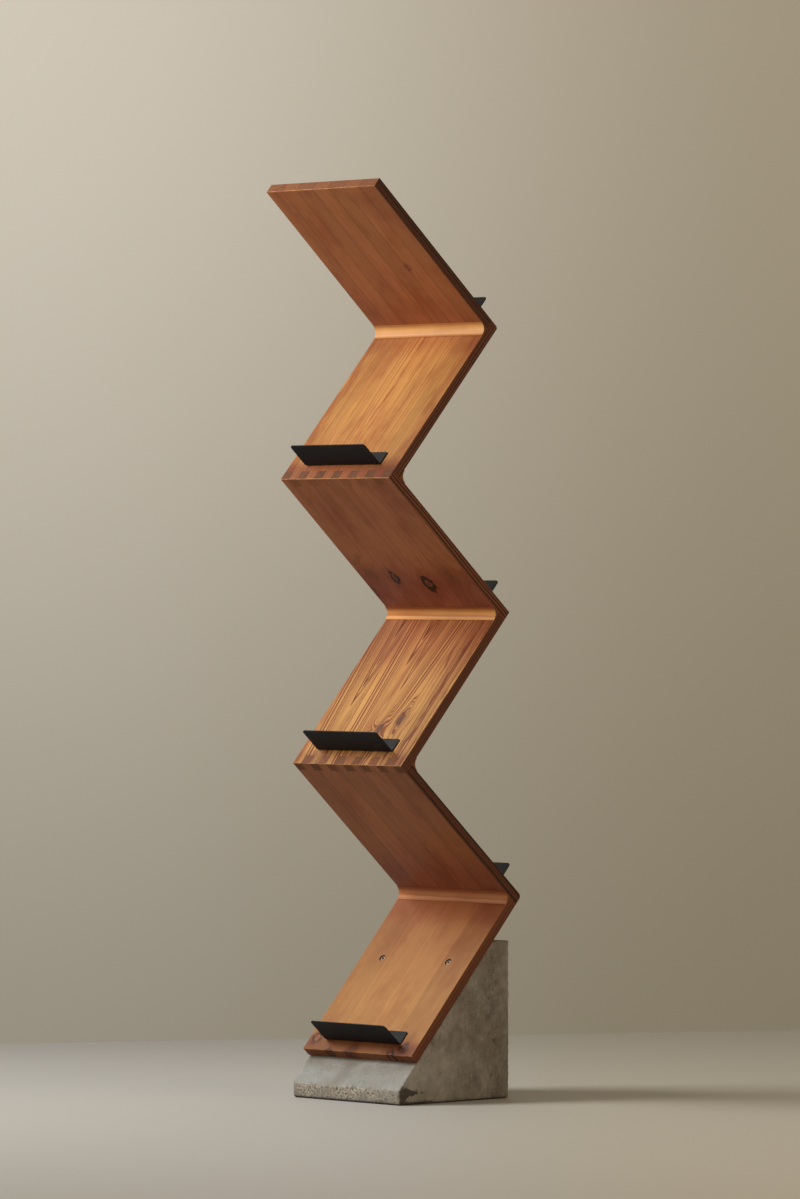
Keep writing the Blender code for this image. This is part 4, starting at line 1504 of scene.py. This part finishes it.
def add_floor():
    """Add the floor, which fades into the backdrop."""
    stage = settings().stage
    deselect()
    reach = stage.floor_radius + stage.floor_fade
    bpy.ops.mesh.primitive_circle_add(vertices=LARGE_SIDES, radius=reach, fill_type="NGON")
    floor = named("floor")
    nodes = Finish("floor")
    place = nodes.place()
    speck = nodes.noise(place, 60.0, 4.0)
    share = nodes.seen() * (1 - stage.floor_bounce) + stage.floor_bounce
    # Painted light: the floor is warmer away from the main lamp, and its brightness slopes across it
    tone = nodes.mix(nodes.step(nodes.dot(place, CAMERA_RIGHT), -0.10, 0.45), stage.floor, stage.floor_painted_warmth)
    level = (speck * 0.06 + 0.90 - nodes.dot(place, FLOOR_PAINTED_FALLOFF)) * share
    nodes.shade(Base_Color=nodes.dim(tone, level), Roughness=0.7, Specular_IOR_Level=0.2)
    out = nodes.add("ShaderNodeVectorMath", {"operation": "LENGTH"}, {0: place}, "Value")
    gone = nodes.larger(nodes.step(out, stage.floor_radius, reach),
                        nodes.step(nodes.dot(place, FLOOR_BACK), FLOOR_BACK_REACH,
                                   FLOOR_BACK_REACH + stage.floor_fade))
    clear = nodes.add("ShaderNodeBsdfTransparent")
    shown = Field(nodes, nodes.surface.outputs[0])
    soft = nodes.add("ShaderNodeMixShader", None, {0: gone, 1: shown, 2: clear})
    nodes.fill(nodes.tree.nodes["Material Output"].inputs["Surface"], soft)
    floor.data.materials.append(nodes.material)


def add_world():
    """Light the shelf from all round, and show a plain backdrop."""
    stage = settings().stage
    world = bpy.data.worlds.new("studio")
    bpy.context.scene.world = world
    world.use_nodes = True
    world.node_tree.nodes.clear()
    nodes = Nodes(world.node_tree)
    toward = nodes.add("ShaderNodeTexCoord", None, None, "Generated")
    aside = nodes.dot(toward, CAMERA_RIGHT)
    rise = nodes.split(toward)[2]
    far = nodes.step(aside, -0.065, 0.065)
    wall = nodes.mix(nodes.step(rise, -0.10, 0.10), nodes.mix(far, stage.wall_near_low, stage.wall_far_low),
                     nodes.mix(far, stage.wall_near, stage.wall_far))
    wall = nodes.add("ShaderNodeBackground", None, {"Color": wall})
    behind = nodes.step(nodes.dot(toward, CAMERA_AWAY), 0.30, 0.95)
    level = (stage.ambient_level + nodes.step(aside, -0.35, 0.35) * (stage.ambient_far - stage.ambient_level)
             + behind * stage.ambient_back)
    ambient = nodes.add("ShaderNodeBackground", None, {"Color": stage.ambient, "Strength": level})
    both = nodes.add("ShaderNodeMixShader", None, {0: nodes.seen(), 1: ambient, 2: wall})
    output = world.node_tree.nodes.new("ShaderNodeOutputWorld")
    nodes.fill(output.inputs["Surface"], both)


class SHELF_OT_stage(bpy.types.Operator):
    """Set up the floor, backdrop, lamps and camera"""
    bl_idname = "shelf.stage"
    bl_label = "Stage"
    bl_options = {"REGISTER", "UNDO"}

    def execute(self, context):
        stage = settings().stage
        context.scene.view_settings.view_transform = "Standard"
        add_camera()
        add_floor()
        add_world()
        add_lamp("key", KEY_PLACE, stage.key_power, stage.key_size, stage.key_colour)
        add_lamp("fill", FILL_PLACE, stage.fill_power, stage.fill_size, stage.fill_colour)
        return {"FINISHED"}


class SHELF_PT_panel(bpy.types.Panel):
    """Lists what builds the shelf"""
    bl_idname = "SHELF_PT_panel"
    bl_label = "Magazine shelf"
    bl_space_type = "VIEW_3D"
    bl_region_type = "UI"
    bl_category = "Shelf"

    def draw(self, context):
        for operator in OPERATORS:
            self.layout.operator(operator.bl_idname)
        for group in (settings().pine, settings().steel, settings().foot, settings().stage):
            box = self.layout.box()
            for name in group.bl_rna.properties.keys():
                if name not in ("rna_type", "name"):
                    box.prop(group, name)


SETTINGS = (PineSettings, SteelSettings, FootSettings, StageSettings, ShelfSettings)
OPERATORS = (SHELF_OT_stage, SHELF_OT_foot, SHELF_OT_boards, SHELF_OT_coves, SHELF_OT_ledges,
             SHELF_OT_ledge_screws, SHELF_OT_bolts)


def register():
    """Register the add-on's classes and settings."""
    for each in (*SETTINGS, *OPERATORS, SHELF_PT_panel):
        bpy.utils.register_class(each)
    bpy.types.Scene.magazine_shelf = bpy.props.PointerProperty(type=ShelfSettings)


def unregister():
    """Take the add-on's classes and settings away again."""
    del bpy.types.Scene.magazine_shelf
    for each in reversed((*SETTINGS, *OPERATORS, SHELF_PT_panel)):
        bpy.utils.unregister_class(each)


def main():
    """Build the shelf."""
    register()
    bpy.ops.shelf.stage()
    bpy.ops.shelf.foot()
    bpy.ops.shelf.boards()
    bpy.ops.shelf.coves()
    bpy.ops.shelf.ledges()
    bpy.ops.shelf.ledge_screws()
    bpy.ops.shelf.bolts()


if __name__ == "__main__":
    main()
